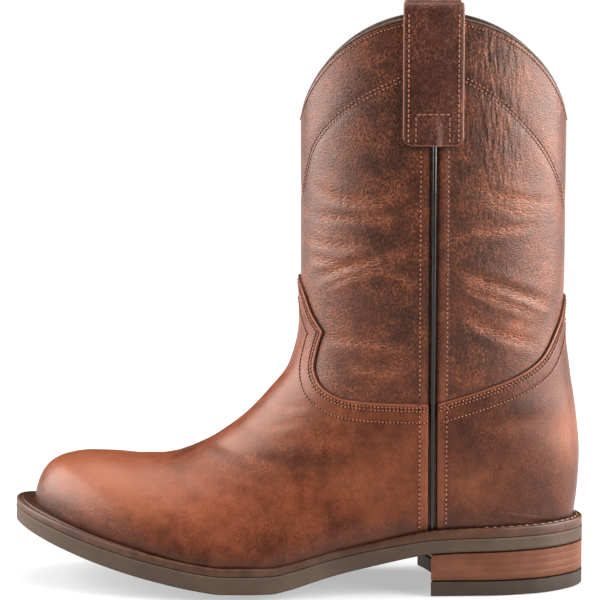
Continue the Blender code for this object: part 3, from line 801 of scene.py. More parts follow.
class Paint:
    """Node tree of one material on a Principled shader."""

    def __init__(self, name: str) -> None:
        """Start an empty tree with its shader and output."""
        self.material = bpy.data.materials.new(name)
        self.material.use_nodes = True
        self.tree = self.material.node_tree
        self.tree.nodes.clear()
        output = self.tree.nodes.new("ShaderNodeOutputMaterial")
        self.shader = self.tree.nodes.new("ShaderNodeBsdfPrincipled")
        self.tree.links.new(self.shader.outputs[0], output.inputs[0])

    def put(self, socket: bpy.types.NodeSocket, value: object) -> None:
        """Link a value to a socket, or set a number or a colour on it.

        Args:
            socket: Input of a node.
            value: A value of the tree, a number, a vector or a colour.
        """
        if isinstance(value, Value):
            self.tree.links.new(value.socket, socket)
        elif isinstance(value, tuple) and socket.type == "RGBA":
            socket.default_value = (*value, 1.0)
        else:
            socket.default_value = value

    def node(self, kind: str, settings: dict[str, object] | None = None,
             inputs: dict[int | str, object] | None = None, output: int | str = 0) -> Value:
        """Add any node.

        Args:
            kind: The node's type.
            settings: Its own settings, which are set first.
            inputs: Values or links by the socket's name or number.
            output: The output to return.

        Returns:
            That output.
        """
        made = self.tree.nodes.new(kind)
        for key, value in (settings or {}).items():
            setattr(made, key, value)
        for key, value in (inputs or {}).items():
            self.put(made.inputs[key], value)
        return Value(self, made.outputs[output])

    def place(self) -> Value:
        """Object coordinates in millimetres."""
        return self.scaled(self.node("ShaderNodeTexCoord", output="Object"), (1 / MM,) * 3)

    def scaled(self, place: Value, scale: Triple) -> Value:
        """Coordinates stretched by a scale."""
        return self.node("ShaderNodeVectorMath", {"operation": "MULTIPLY"}, {0: place, 1: scale})

    def stirred(self, place: Value, size: float, amount: float) -> Value:
        """Coordinates shifted by noise.

        Args:
            place: Coordinates in millimetres.
            size: Size of the noise's lumps in millimetres.
            amount: Largest shift from side to side in millimetres.

        Returns:
            The shifted coordinates.
        """
        wave = self.node("ShaderNodeTexNoise", inputs={"Vector": place, "Scale": 1 / size, "Detail": 2.0},
                         output="Color")
        shift = self.node("ShaderNodeVectorMath", {"operation": "MULTIPLY_ADD"},
                          {0: wave, 1: (amount,) * 3, 2: (-amount / 2,) * 3})
        return self.node("ShaderNodeVectorMath", {"operation": "ADD"}, {0: place, 1: shift})

    def noise(self, place: Value, size: float, detail: float = 2.0, roughness: float = 0.5) -> Value:
        """Noise from 0 to 1 with lumps of a size in millimetres."""
        inputs = {"Vector": place, "Scale": 1 / size, "Detail": detail, "Roughness": roughness}
        return self.node("ShaderNodeTexNoise", inputs=inputs)

    def cells(self, place: Value, size: float) -> Value:
        """Distance to the edges of rounded cells of a size in millimetres."""
        return self.node("ShaderNodeTexVoronoi", {"feature": "DISTANCE_TO_EDGE"},
                         {"Vector": place, "Scale": 1 / size}, "Distance")

    def share(self, name: str) -> Value:
        """A value that the mesh holds at its points."""
        return self.node("ShaderNodeAttribute", {"attribute_name": name}, output="Fac")

    def mix(self, factor: Value | float, first: object, second: object) -> Value:
        """Colour between two colours."""
        return self.node("ShaderNodeMix", {"data_type": "RGBA"}, {0: factor, 6: first, 7: second}, 2)

    def finish(self, colour: Value, roughness: Value | float, height: Value, depth: float,
               constants: dict[str, object] | None = None) -> bpy.types.Material:
        """Feed the shader.

        Args:
            colour: Base colour.
            roughness: Roughness.
            height: Relief from 0 to 1.
            depth: Size of the relief in millimetres.
            constants: Numbers for other sockets of the shader.

        Returns:
            The material.
        """
        bump = self.node("ShaderNodeBump", inputs={"Strength": 1.0, "Distance": depth * MM, "Height": height})
        self.put(self.shader.inputs["Base Color"], colour)
        self.put(self.shader.inputs["Roughness"], roughness)
        self.put(self.shader.inputs["Normal"], bump)
        for key, value in (constants or {}).items():
            self.put(self.shader.inputs[key], value)
        return self.material


@dataclass(frozen=True)
class Leather:
    """Waxed pull-up leather: dark cells in a paler net, pulled-up creases, blotches with some painted shade
    and light, and painted shade near the welt, which is a little less rough there.
    """

    name: str
    dark: Colour = (0.008, 0.0016, 0.0007)
    middle: Colour = (0.055, 0.0118, 0.0043)
    light: Colour = (0.275, 0.073, 0.029)
    tan: Colour = (0.225, 0.070, 0.031)
    # Dark colour for the painted shade near the welt, in grooves and channels and under the strap, and for
    # the cut edges, which are partly edge dye and partly painted shadow.
    shade_and_edge_dye: Colour = (0.014, 0.006, 0.004)
    front_grain: Triple = (0.60, 0.80, 1.25)
    back_grain: Triple = (1.0, 1.0, 0.24)
    fibre: Triple = (1.0, 1.0, 0.55)
    streak: Triple = (0.22, 0.35, 1.0)
    grain_turn: Point2 = (74.0, 102.0)
    grain_end: Point2 = (130.0, 104.0)
    grain_rise: Point2 = (185.0, 240.0)
    wrinkle: float = 2.2
    wrinkles: float = 2.1
    pebble: float = 1.5
    pebble_depth: float = 0.26
    vein: float = 1.6
    veins: float = 1.00
    line: float = 0.14
    streaks: float = 0.6
    stir: Point2 = (3.0, 1.8)
    roughness: float = 0.40
    gloss: float = 0.50
    coat: float = 0.03
    sheen: Colour = (1.0, 0.76, 0.66)

    def material(self) -> bpy.types.Material:
        """Colour from noise, blotches with some painted shade and light, net, creases, and painted shade near
        the welt, in grooves and at cut edges, and relief from stretched cells.

        Returns:
            The material.
        """
        paint = Paint(self.name)
        place = paint.place()
        stirred = paint.stirred(place, *self.stir)
        clouds, mottle = paint.noise(place, 24.0, 3.0, 0.6), paint.noise(place, 6.0, 4.0, 0.65)
        patches = paint.noise(stirred, 13.0, 3.0, 0.55).step(0.36, 0.66)
        net = paint.cells(stirred, self.vein).step(self.line, 0.0)
        fine = paint.cells(stirred, self.vein * 0.5).step(self.line, 0.0)
        streaks = paint.cells(paint.scaled(stirred, self.streak), self.pebble).step(0.16, 0.0)
        # The tone share holds dark and pale blotches and, among them, painted shade and painted light.
        pull, edge, stain_and_shade = paint.share("pull"), paint.share("edge"), paint.share("tone")
        # Painted shade near the welt, and painted shade in the seam's groove and channels with painted shadow
        # under the strap.
        burnish, groove = paint.share("burnish"), paint.share("groove")
        depth = clouds * 0.50 + mottle * 0.26 - stain_and_shade * 0.35
        tone = paint.mix(depth.step(0.12, 0.56), self.dark, self.middle)
        tone = paint.mix(((mottle - 0.5) * 0.4 - stain_and_shade).step(0.0, 0.9), tone, self.tan)
        fibres = paint.noise(paint.scaled(stirred, self.fibre), 0.9, 3.0, 0.6).step(0.42, 0.70)
        veins = (net * 0.26 + fine * 0.12 + fibres * 0.55) * (patches * 0.55 + pull * 0.3 + 0.30) * self.veins
        tone = paint.mix(veins.most(streaks * pull * self.streaks) + pull * (mottle * 0.12), tone, self.light)
        worn = edge.step(0.4, 0.8) * edge.step(1.9, 1.1)
        tone = paint.mix(worn * 0.4, tone, self.light)
        # Pulls the colour toward the dark: painted shade near the welt, in grooves and channels and under the
        # strap, and at the cut edges partly painted shadow and partly edge dye.
        shade = (burnish * 0.85).most(groove * 0.85).most(edge.step(0.7, 0.3) * 0.85)
        tone = paint.mix(shade, tone, self.shade_and_edge_dye)
        lying = paint.cells(paint.scaled(stirred, self.front_grain), self.pebble).step(0.0, 0.4)
        standing = paint.noise(paint.scaled(stirred, self.back_grain), self.wrinkle, 1.0, 0.4)
        x, z = (paint.node("ShaderNodeSeparateXYZ", inputs={0: place}, output=axis) for axis in "XZ")
        rear = x.step(*self.grain_turn) * x.step(*self.grain_end) * (z.step(*self.grain_rise) * 0.75 + 0.25)
        height = lying * 0.2 + standing * rear * self.wrinkles + paint.noise(place, 0.45) * 0.05
        height = height + mottle * 0.4 - net * 0.1 - streaks * pull * self.streaks
        rough = self.roughness + (mottle - 0.5) * 0.15 + veins * 0.1
        rough = rough - burnish * 0.06 + edge.step(0.9, 0.4) * 0.45
        constants = {"Coat Weight": self.coat, "Coat Roughness": 0.25, "Specular IOR Level": self.gloss,
                     "Specular Tint": self.sheen}
        return paint.finish(tone, rough, height, self.pebble_depth, constants)


@dataclass(frozen=True)
class Plain:
    """Plain finish with mottled colour and fine relief, and layers across its height where it has them."""

    name: str
    first: Colour
    second: Colour
    size: float = 6.0
    grain: float = 0.8
    depth: float = 0.10
    roughness: float = 0.6
    layer: float = 0.0
    tread: bool = False
    gloss: float = 0.5

    def material(self) -> bpy.types.Material:
        """Colour between two tones by noise, with bands by height for stacked layers.

        Returns:
            The material.
        """
        paint = Paint(self.name)
        place = paint.place()
        cloud = paint.noise(place, self.size, 4.0, 0.6)
        grain = paint.noise(place, self.grain, 3.0, 0.6)
        tone = paint.mix((cloud * 0.75 + grain * 0.25).step(0.32, 0.70), self.first, self.second)
        height = grain
        if self.layer:
            flat = paint.scaled(place, (0.03, 0.03, 1.0))
            band = paint.noise(flat, self.layer, 2.0, 0.5)
            tone = paint.mix(band.step(0.42, 0.60) * 0.3, tone, self.first)
            height = height * 0.5 + band * 0.3
        if self.tread:
            studs = paint.cells(place, 5.0).step(0.04, 0.16)
            height = height * 0.25 + studs * paint.share("tread") * 4.0
        return paint.finish(tone, self.roughness + (cloud - 0.5) * 0.2, height, self.depth,
                            {"Specular IOR Level": self.gloss})


THREAD = Plain("waxed_thread", (0.150, 0.042, 0.019), (0.270, 0.090, 0.043), 3.0, 0.4, 0.05, 0.5)
PALE_THREAD = Plain("pale_thread", (0.10, 0.050, 0.026), (0.22, 0.115, 0.060), 3.0, 0.4, 0.05, 0.6)
# Near-black lenses in the needle holes: painted shadow inside the holes.
HOLE_SHADOW = Plain("needle_hole_shadow", (0.006, 0.003, 0.002), (0.012, 0.005, 0.003), 3.0, 0.4, 0.02, 0.8,
                    gloss=0.1)
SHAFT_LEATHER = Leather("shaft_leather")
VAMP_LEATHER = Leather("vamp_leather", dark=(0.031, 0.0066, 0.0029), middle=(0.126, 0.0310, 0.0120),
                       veins=0.55, streaks=0.14, wrinkles=0.0, pebble=1.2, pebble_depth=0.15, vein=1.5,
                       gloss=0.33)
COUNTER_LEATHER = Leather("counter_leather", dark=(0.014, 0.0030, 0.0013), middle=(0.058, 0.0136, 0.0052),
                          veins=0.50, streaks=0.14, wrinkles=0.0, pebble=1.2, pebble_depth=0.14, vein=1.6,
                          gloss=0.36)
STRAP_LEATHER = Leather("strap_leather", dark=(0.013, 0.0026, 0.0013), middle=(0.038, 0.0079, 0.0036),
                        light=(0.240, 0.090, 0.056), vein=11.0, veins=0.85, line=0.024, wrinkles=0.0,
                        stir=(9.0, 6.0), pebble_depth=0.22, roughness=0.5, gloss=0.32)
STRAP_EDGE = Plain("strap_cut_edge", (0.20, 0.085, 0.045), (0.34, 0.165, 0.095), 4.0, 0.5, 0.05, 0.6)
LINING = Plain("lining", (0.120, 0.068, 0.038), (0.190, 0.112, 0.066), 12.0, 0.6, 0.08, 0.75, gloss=0.15)
BINDING = Plain("collar_edge", (0.040, 0.024, 0.017), (0.080, 0.050, 0.036), 5.0, 0.5, 0.06, 0.5, gloss=0.2)
PIPING = Plain("piping_cord", (0.005, 0.004, 0.003), (0.008, 0.006, 0.005), 6.0, 0.5, 0.01, 0.15)
WELT = Plain("welt_leather", (0.039, 0.0145, 0.0068), (0.076, 0.029, 0.0140), 8.0, 0.7, 0.08, 0.45, gloss=0.3)
OUTSOLE = Plain("outsole_rubber", (0.051, 0.0315, 0.0205), (0.069, 0.044, 0.029), 14.0, 0.7, 0.10, 0.62,
                tread=True, gloss=0.2)
STACK = Plain("heel_leather", (0.090, 0.0285, 0.0132), (0.128, 0.044, 0.0212), 9.0, 0.6, 0.06, 0.5, layer=3.6,
              gloss=0.2)
LIFT = Plain("heel_rubber", (0.030, 0.0200, 0.0142), (0.040, 0.028, 0.0205), 9.0, 0.7, 0.08, 0.6, tread=True,
             gloss=0.2)
INSOLE = Plain("insole_board", (0.26, 0.16, 0.09), (0.36, 0.24, 0.14), 10.0, 0.8, 0.08, 0.8, gloss=0.15)


@dataclass
class Upper:
    """Hollow wall of the shaft and foot, with its lining."""

    shaft_rows: int = 130
    foot_rows: int = 60
    lining_rows: int = 60
    side_columns: int = 160
    crowd: float = 0.45
    dense_until: float = 0.26
    crease_end: Point2 = (0.30, 0.22)
    calm_foot: Point2 = (0.0, 4.0)

    def turns(self) -> Array:
        """Turns across both sides, crowded at the side seams by a sine.

        Returns:
            Turns from -1 to 1.
        """
        part = np.linspace(0.0, 1.0, self.side_columns + 1)
        part = part + self.crowd / (2 * np.pi) * np.sin(2 * np.pi * part)
        return np.concatenate([-part[::-1], part[1:]])

    def rows(self, first: Array, dense: int, foot: int) -> Array:
        """Rows by turn, from the collar through the shaft, then on to the toe.

        Args:
            first: Row of the collar at each turn.
            dense: Steps down the shaft.
            foot: Steps from there to the toe.

        Returns:
            Rows by step and turn.
        """
        share = np.linspace(0.0, 1.0, dense + 1)[:-1, None]
        shaft = first * (1 - share) + self.dense_until * share
        rest = np.linspace(self.dense_until, 1.0, foot + 1)[:, None] + 0 * first
        return np.concatenate([shaft, rest])

    def build(self) -> bpy.types.Object:
        """Outer grid with its creases, inner grid one leather below it, and rims that join them.

        Returns:
            The piece.
        """
        turns = self.turns()[None, :]
        collar = LAST.collar_row(turns)
        outer_rows = self.rows(collar, self.shaft_rows, self.foot_rows)
        inner_rows = self.rows(collar, self.lining_rows // 2, self.lining_rows // 2)
        base = LAST.points(outer_rows, turns)
        height, pull, groove = SHAFT_CREASES.read(base)
        near = smooth_step(*self.crease_end, outer_rows)
        calm = smooth_step(*self.calm_foot, base[..., 2] - LAST.welt_top(base[..., 0], base[..., 1]))
        outer = LAST.raised(outer_rows, turns, height * near * calm)
        inner = LAST.raised(inner_rows, turns, np.full(inner_rows.shape, -LAST.leather))
        below = np.linalg.norm(base - base[:1], axis=-1)
        shape = Shape()
        # The groove share is painted shade in the seam's groove and channels and painted shadow under the
        # strap.
        first = shape.add_grid(outer, pull=pull, groove=groove, edge=np.maximum(below, 2.0),
                               burnish=np.zeros_like(pull), tone=SHAFT_CREASES.tone(base))
        second = shape.add_grid(inner, slot=1, pull=0.0, groove=0.0, edge=9.0, burnish=0.0, tone=0.0)
        shape.join(first[0], second[0], 1)
        shape.join(first[-1], second[-1], 1)
        low = outer_rows[:, 0] >= LAST.heel_seat
        low_in = inner_rows[:, 0] >= LAST.heel_seat
        for column in (0, -1):
            self.close(shape, first[low, column], second[low_in, column])
        return shape.make("upper_leather", [SHAFT_LEATHER.material(), LINING.material()])

    @staticmethod
    def close(shape: Shape, first: Array, second: Array) -> None:
        """Join two lower edges with different numbers of points, taking the nearest of the shorter one."""
        match = second[np.round(np.linspace(0, len(second) - 1, len(first))).astype(int)]
        shape.join(first, match, 1)


@dataclass
class Overlay:
    """Overlay leather that lies on the upper between its cut edge, the side seam and the welt."""

    name: str
    finish: Leather
    creases: Creases
    columns: int
    rows: int
    lift: float = 0.4
    thickness: float = 1.1
    round_edge: float = 0.9
    rim_points: int = 900
    rim_blur: float = 0.12
    dark_foot: float = 5.0
    calm_rim: Point2 = (1.0, 7.0)
    calm_foot: Point2 = (0.0, 8.0)
    # Depth, distance from the rim and half width of the dents under the stitch rows.
    dents: tuple[Triple, ...] = ((0.16, 3.2, 1.2), (0.10, 10.2, 0.8))

    def patch(self, top: Array, bottom: Array, start: Array, end: Array) -> Array:
        """Rows and turns between four boundary lines: opposite lines blended, less the corners' share.

        Args:
            top: Line along the cut edge.
            bottom: Line along the welt.
            start: Line that joins their first points.
            end: Line that joins their last points.

        Returns:
            Rows and turns by row and column.
        """
        across = np.linspace(0.0, 1.0, len(top))[None, :, None]
        down = np.linspace(0.0, 1.0, len(start))[:, None, None]
        ruled = (1 - down) * top[None] + down * bottom[None]
        turned = (1 - across) * start[:, None] + across * end[:, None]
        corners = ((1 - down) * ((1 - across) * top[0] + across * top[-1])
                   + down * ((1 - across) * bottom[0] + across * bottom[-1]))
        return ruled + turned - corners

    def build(self, patches: list[Array], rims: list[Array]) -> bpy.types.Object:
        """Outer grid rounded off at its rim, underside, and the faces that join them.

        Args:
            patches: Rows and turns of both sides, which meet at the centre line.
            rims: Rows and turns of each side's cut edge and seam.

        Returns:
            The piece.
        """
        shares = np.linspace(0.0, 1.0, self.rim_points)
        lines = [LAST.points(*self.line(*rim.T, shares).T) for rim in rims]
        edge = np.concatenate([reach(LAST.points(patch[..., 0], patch[..., 1]), line)
                               for patch, line in zip(patches, lines)], 1)
        grid = np.concatenate(patches, 1)
        row, turn = np.clip(grid[..., 0], 0.0, 1.0), np.clip(grid[..., 1], -1.0, 1.0)
        base, normal = LAST.points(row, turn), LAST.normals(row, turn)
        foot = base[..., 2] - LAST.welt_top(base[..., 0], base[..., 1])
        height, pull, _ = self.creases.read(base)
        calm = smooth_step(*self.calm_rim, edge) * smooth_step(*self.calm_foot, foot)
        near = np.clip((edge - self.rim_blur) / self.round_edge, 0.0, 1.0)
        rounding = self.thickness * np.sqrt(1 - (1 - near) ** 2)
        sewn = sum(depth * np.exp(-((edge - at) / half) ** 2) for depth, at, half in self.dents)
        outer = base + (self.lift + rounding + height * calm - sewn * near)[..., None] * normal
        under = base + (self.lift * 0.3) * normal
        floor = LAST.welt_top(outer[..., 0], outer[..., 1]) + 0.15
        outer[..., 2] = np.maximum(outer[..., 2], floor)
        shape = Shape()
        # The welt share paints shade on the leather just above the welt, fading upwards over dark_foot; it
        # also lowers the roughness a little.
        first = shape.add_grid(outer, pull=pull * calm, edge=edge, groove=0.0, tone=self.creases.tone(base),
                               burnish=np.exp(-np.maximum(foot, 0.0) / self.dark_foot))
        second = shape.add_grid(under, pull=0.0, edge=9.0, burnish=0.0, groove=0.0, tone=0.0)
        shape.close(first, second)
        return shape.make(self.name, [self.finish.material()])

    @staticmethod
    def line(rows: Array, turns: Array, shares: Array) -> Array:
        """Rows and turns at shares of the length of a line on the form."""
        pair = np.stack(np.broadcast_arrays(rows, turns), -1)
        return spread(pair, LAST.points(*pair.T), shares)

    @staticmethod
    def seam_bottom(x: float) -> float:
        """Row at which the feather line passes a place along the length.

        Args:
            x: The place.

        Returns:
            The row.
        """
        rows = np.linspace(LAST.heel_seat, 1.0, 2001)
        ends = LAST.along(SECTIONS.read("station", rows))
        return float(np.interp(-x, -ends, rows))

    def seam(self, x: float, top: float, shares: Array, side: Side) -> Array:
        """Rows and turns down the side seam.

        Args:
            x: Place of the seam along the length.
            top: Height of its upper end.
            shares: Shares of its length.
            side: Side of the boot.

        Returns:
            Pairs (row, turn), one for each share.
        """
        row = self.seam_bottom(x)
        foot = float(LAST.points(row, side.value)[2])
        z = np.linspace(top, foot + 0.05, 200)
        pair = LAST.locate(np.full(200, x), z, side)
        pair[-1] = (row, side.value)
        return self.line(*pair.T, shares)


@dataclass
class Vamp(Overlay):
    """Front overlay with its tongue, point and side sweep."""

    centre_rows: Triple = (0.145, 0.36, 0.53)
    row_shares: tuple[float, float, float, float] = (0.12, 0.35, 0.16, 0.37)
    crowd: float = 1.5

    def make(self) -> bpy.types.Object:
        """Straight lines in rows and turns, from the centre line to the rim and on along the welt.

        The lines' outer ends go along the tongue, the sweep, the seam and the welt. Their inner ends
        go down the centre line, by the rows that stand for the ends of those stretches.

        Returns:
            The piece.
        """
        patches, rims = [], []
        out = 1 - (1 - np.linspace(0.0, 1.0, self.columns + 1)[None, :, None]) ** self.crowd
        for side in Side:
            edge = [smooth_line(points) for points in (VAMP_TONGUE, VAMP_SIDE)]
            tongue, sweep = (LAST.locate(line[:, 0], line[:, 1], side) for line in edge)
            tongue[0, 1] = 0.0
            bend = self.seam_bottom(VAMP_SIDE[-1][0])
            seam = self.seam(*VAMP_SIDE[-1], np.linspace(0.0, 1.0, 200), side)
            welt = np.stack([np.linspace(bend, 1.0, 400), np.full(400, float(side.value))], -1)
            ends, starts = [], []
            centre = Table("reach row", tuple(zip(np.arange(5.0), (tongue[0, 0], *self.centre_rows, 1.0))))
            for k, (path, share) in enumerate(zip((tongue, sweep, seam, welt), self.row_shares)):
                steps = np.linspace(0.0, 1.0, int(self.rows * share) + 1)[k > 0:]
                ends.append(self.line(*path.T, steps))
                starts.append(centre.read("row", k + steps))
            ends, starts = np.concatenate(ends), np.concatenate(starts)
            middle = np.stack([starts, np.zeros_like(starts)], -1)
            patch = middle[:, None] + out * (ends - middle)[:, None]
            patches.append(patch[:, ::-1] if side is Side.OUTER else patch[:, 1:])
            rims.append(np.concatenate([tongue, sweep[1:], seam[1:]]))
        return self.build(patches, rims)


@dataclass
class Counter(Overlay):
    """Back overlay that rises to the centre back."""

    crowd: float = 1.25

    def make(self) -> bpy.types.Object:
        """Both sides from the seams to the back line.

        Returns:
            The piece.
        """
        across = np.linspace(0.0, 1.0, self.columns + 1)
        down = np.linspace(0.0, 1.0, self.rows + 1) ** self.crowd
        patches, rims = [], []
        for side in Side:
            edge = smooth_line(COUNTER_EDGE)
            pair = LAST.locate(edge[:, 0], edge[:, 1], side)
            pair[-1, 1] = side.value
            top = self.line(*pair.T, across)
            bend = self.seam_bottom(COUNTER_EDGE[0][0])
            bottom = self.line(np.linspace(bend, LAST.heel_seat, 400), np.full(400, side.value), across)
            back = self.line(np.linspace(pair[-1, 0], LAST.heel_seat, 400), np.full(400, side.value), down)
            seam = self.seam(*COUNTER_EDGE[0], down, side)
            patch = self.patch(top, bottom, seam, back)
            patches.append(patch if side is Side.OUTER else patch[:, -2::-1])
            rims.append(np.concatenate([seam[::-1], pair[1:]]))
        return self.build(patches, rims)


@dataclass
class Tube:
    """Cord along a path, with a round section."""

    radius: float
    around: int = 12

    def shape(self, path: Array, up: Array, closed: bool) -> Shape:
        """Circle carried along the path, square to it.

        Args:
            path: Points of the path.
            up: Direction at each point from which the circle's points are counted.
            closed: Join the last point to the first.

        Returns:
            The shape, with its ends drawn to a point where it is open.
        """
        ahead = np.roll(path, -1, 0) - np.roll(path, 1, 0) if closed else np.gradient(path, axis=0)
        ahead = unit(ahead)
        across = unit(np.cross(up, ahead))
        rise = np.cross(ahead, across)
        angle = np.linspace(0.0, 2 * np.pi, self.around, endpoint=False)[None, :, None]
        circle = np.cos(angle) * across[:, None] + np.sin(angle) * rise[:, None]
        rings = path[:, None] + self.radius * circle
        if closed:
            rings = np.concatenate([rings, rings[:1]])
        else:
            tips = [np.broadcast_to(path[k], rings[0].shape)[None] for k in (0, -1)]
            rings = np.concatenate([tips[0], rings, tips[1]])
        made = Shape()
        made.add_grid(rings, wrap=True)
        return made


@dataclass
class Collar:
    """Bead along the scalloped top line."""

    radius: float = 0.8
    sunk: float = 0.35
    points: int = 420

    def build(self) -> bpy.types.Object:
        """Tube on the middle of the wall's top edge.

        Returns:
            The piece.
        """
        turns = np.linspace(-1.0, 1.0, self.points + 1)[:-1]
        rows = LAST.collar_row(turns)
        edge, normal = LAST.points(rows, turns), LAST.normals(rows, turns)
        rise = np.cross(normal, unit(np.roll(edge, -1, 0) - np.roll(edge, 1, 0)))
        rise *= np.sign(rise[:, 2:])
        path = edge - LAST.leather / 2 * normal + (LAST.gap + self.radius - self.sunk) * rise
        return Tube(self.radius).shape(path, rise, True).make("collar_edge", [BINDING.material()])


@dataclass
class Piping:
    """Cord in a side seam, from the strap to the welt."""

    side: Side
    radius: float = 1.1
    top: float = 239.0
    sit: float = 0.95
    foot_clear: float = 0.3
    points: int = 160

    def build(self) -> bpy.types.Object:
        """Tube on the form along the seam's place.

        Returns:
            The piece.
        """
        row = Overlay.seam_bottom(SEAM_X)
        foot = float(LAST.points(row, self.side.value)[2])
        z = np.linspace(self.top, foot + self.foot_clear, self.points)
        pair = LAST.locate(np.full(self.points, SEAM_X), z, self.side)
        path = LAST.raised(*pair.T, np.full(self.points, self.radius * self.sit))
        path[:, 2] = np.maximum(path[:, 2], LAST.welt_top(path[:, 0], path[:, 1]) + self.radius)
        cord = Tube(self.radius).shape(path, LAST.normals(*pair.T), False)
        return cord.make("side_piping_" + self.side.name.lower() + "_cord", [PIPING.material()])


@dataclass
class Strap:
    """Pull strap folded over the collar."""

    side: Side
    x: float = 70.7
    width: float = 30.5
    thick: float = 1.8
    clear: float = 1.0
    bottom: float = 236.0
    inside_bottom: float = 262.0
    top: float = 308.6
    corner: float = 5.0
    crown: float = 0.25
    ridge: float = 1.3
    ridge_half: float = 2.4
    ridge_fade: Point2 = (253.0, 243.0)
    form_top: float = 311.0
    along: int = 150
    across: int = 44
    leg_points: tuple[int, int] = (80, 50)

    def legs(self) -> tuple[Array, Array]:
        """The strap's line: up outside, a half circle, down inside.

        Returns:
            Heights, and distances from the form.
        """
        outside = self.clear + self.thick / 2
        inside = -LAST.leather - outside
        radius = (outside - inside) / 2
        bend = self.top - self.thick / 2 - radius
        angle = np.linspace(0.0, np.pi, 40)[1:-1]
        up, down = self.leg_points
        z = np.concatenate([np.linspace(self.bottom, bend, up), bend + radius * np.sin(angle),
                            np.linspace(bend, self.inside_bottom, down)])
        over = inside + radius * (1 + np.cos(angle))
        return z, np.concatenate([np.full(up, outside), over, np.full(down, inside)])

    def centre(self, x: Array, z: Array, away: Array) -> tuple[Array, Array]:
        """Points off the form.

        Args:
            x: Places along the length.
            z: Heights.
            away: Distances from the form.

        Returns:
            The points, and the form's normals there.
        """
        pair = LAST.locate(x.ravel(), np.minimum(z, self.form_top).ravel(), self.side)
        base, normal = LAST.points(*pair.T), LAST.normals(*pair.T)
        points = base + away.ravel()[:, None] * normal
        return points.reshape(*x.shape, 3), normal.reshape(*x.shape, 3)

    def bulge(self, x: Array, z: Array) -> Array:
        """Ridge over the piping's end: a bell across, fading upwards."""
        bell = np.exp(-((x - SEAM_X) / self.ridge_half) ** 2)
        return self.ridge * bell * smooth_step(*self.ridge_fade, z)

    def build(self) -> bpy.types.Object:
        """Rounded rectangle carried along the strap's folded line.

        Returns:
            The piece.
        """
        z, away = self.legs()
        line = np.stack([z, away], -1)
        shares = np.linspace(0.0, 1.0, self.along + 1)
        z, away = spread(line, line, shares).T
        part = np.linspace(-1.0, 1.0, self.across + 1)
        wide = np.sign(part) * (1 - (1 - np.abs(part)) ** 1.35)
        x = self.x + wide * self.width / 2
        past = np.maximum(np.abs(wide) * self.width / 2 - (self.width / 2 - self.corner), 0.0) / self.corner
        cut = self.corner * (1 - np.sqrt(1 - past ** 2))
        outer_leg = (away > 0)[:, None]
        low = smooth_step(self.bottom + 14.0, self.bottom, z)[:, None] * outer_leg
        high = z[:, None] + low * cut[None, :]
        places = np.broadcast_to(x[None, :], high.shape)
        crown = self.crown * (1 - wide ** 2)[None, :] * outer_leg
        push = np.broadcast_to(away[:, None], high.shape) + crown + self.bulge(places, high) * outer_leg
        middle, normal = self.centre(places, high, push)
        down = np.gradient(middle, axis=0)
        side = np.gradient(middle, axis=1)
        out = unit(np.cross(side, down))
        out *= np.sign(np.sum(out[5, self.across // 2] * normal[5, self.across // 2]))
        half = self.thick / 2 * np.sqrt(np.clip(1 - np.abs(wide) ** 24, 0.04, 1.0))[None, :, None]
        faces = [middle + out * half, middle - out * half]
        hem = np.where(outer_leg, high - self.bottom - low * cut[None, :], 9.0)
        edge = np.minimum((1 - np.abs(wide)) * self.width / 2, hem)
        shape = Shape()
        plain = {"pull": 0.0, "groove": 0.0, "burnish": 0.0, "tone": 0.0, "edge": edge + 0.9}
        first, second = (shape.add_grid(face, **plain) for face in faces)
        shape.close(first, second, 1)
        name = "pull_strap_" + self.side.name.lower()
        return shape.make(name + "_leather", [STRAP_LEATHER.material(), STRAP_EDGE.material()])


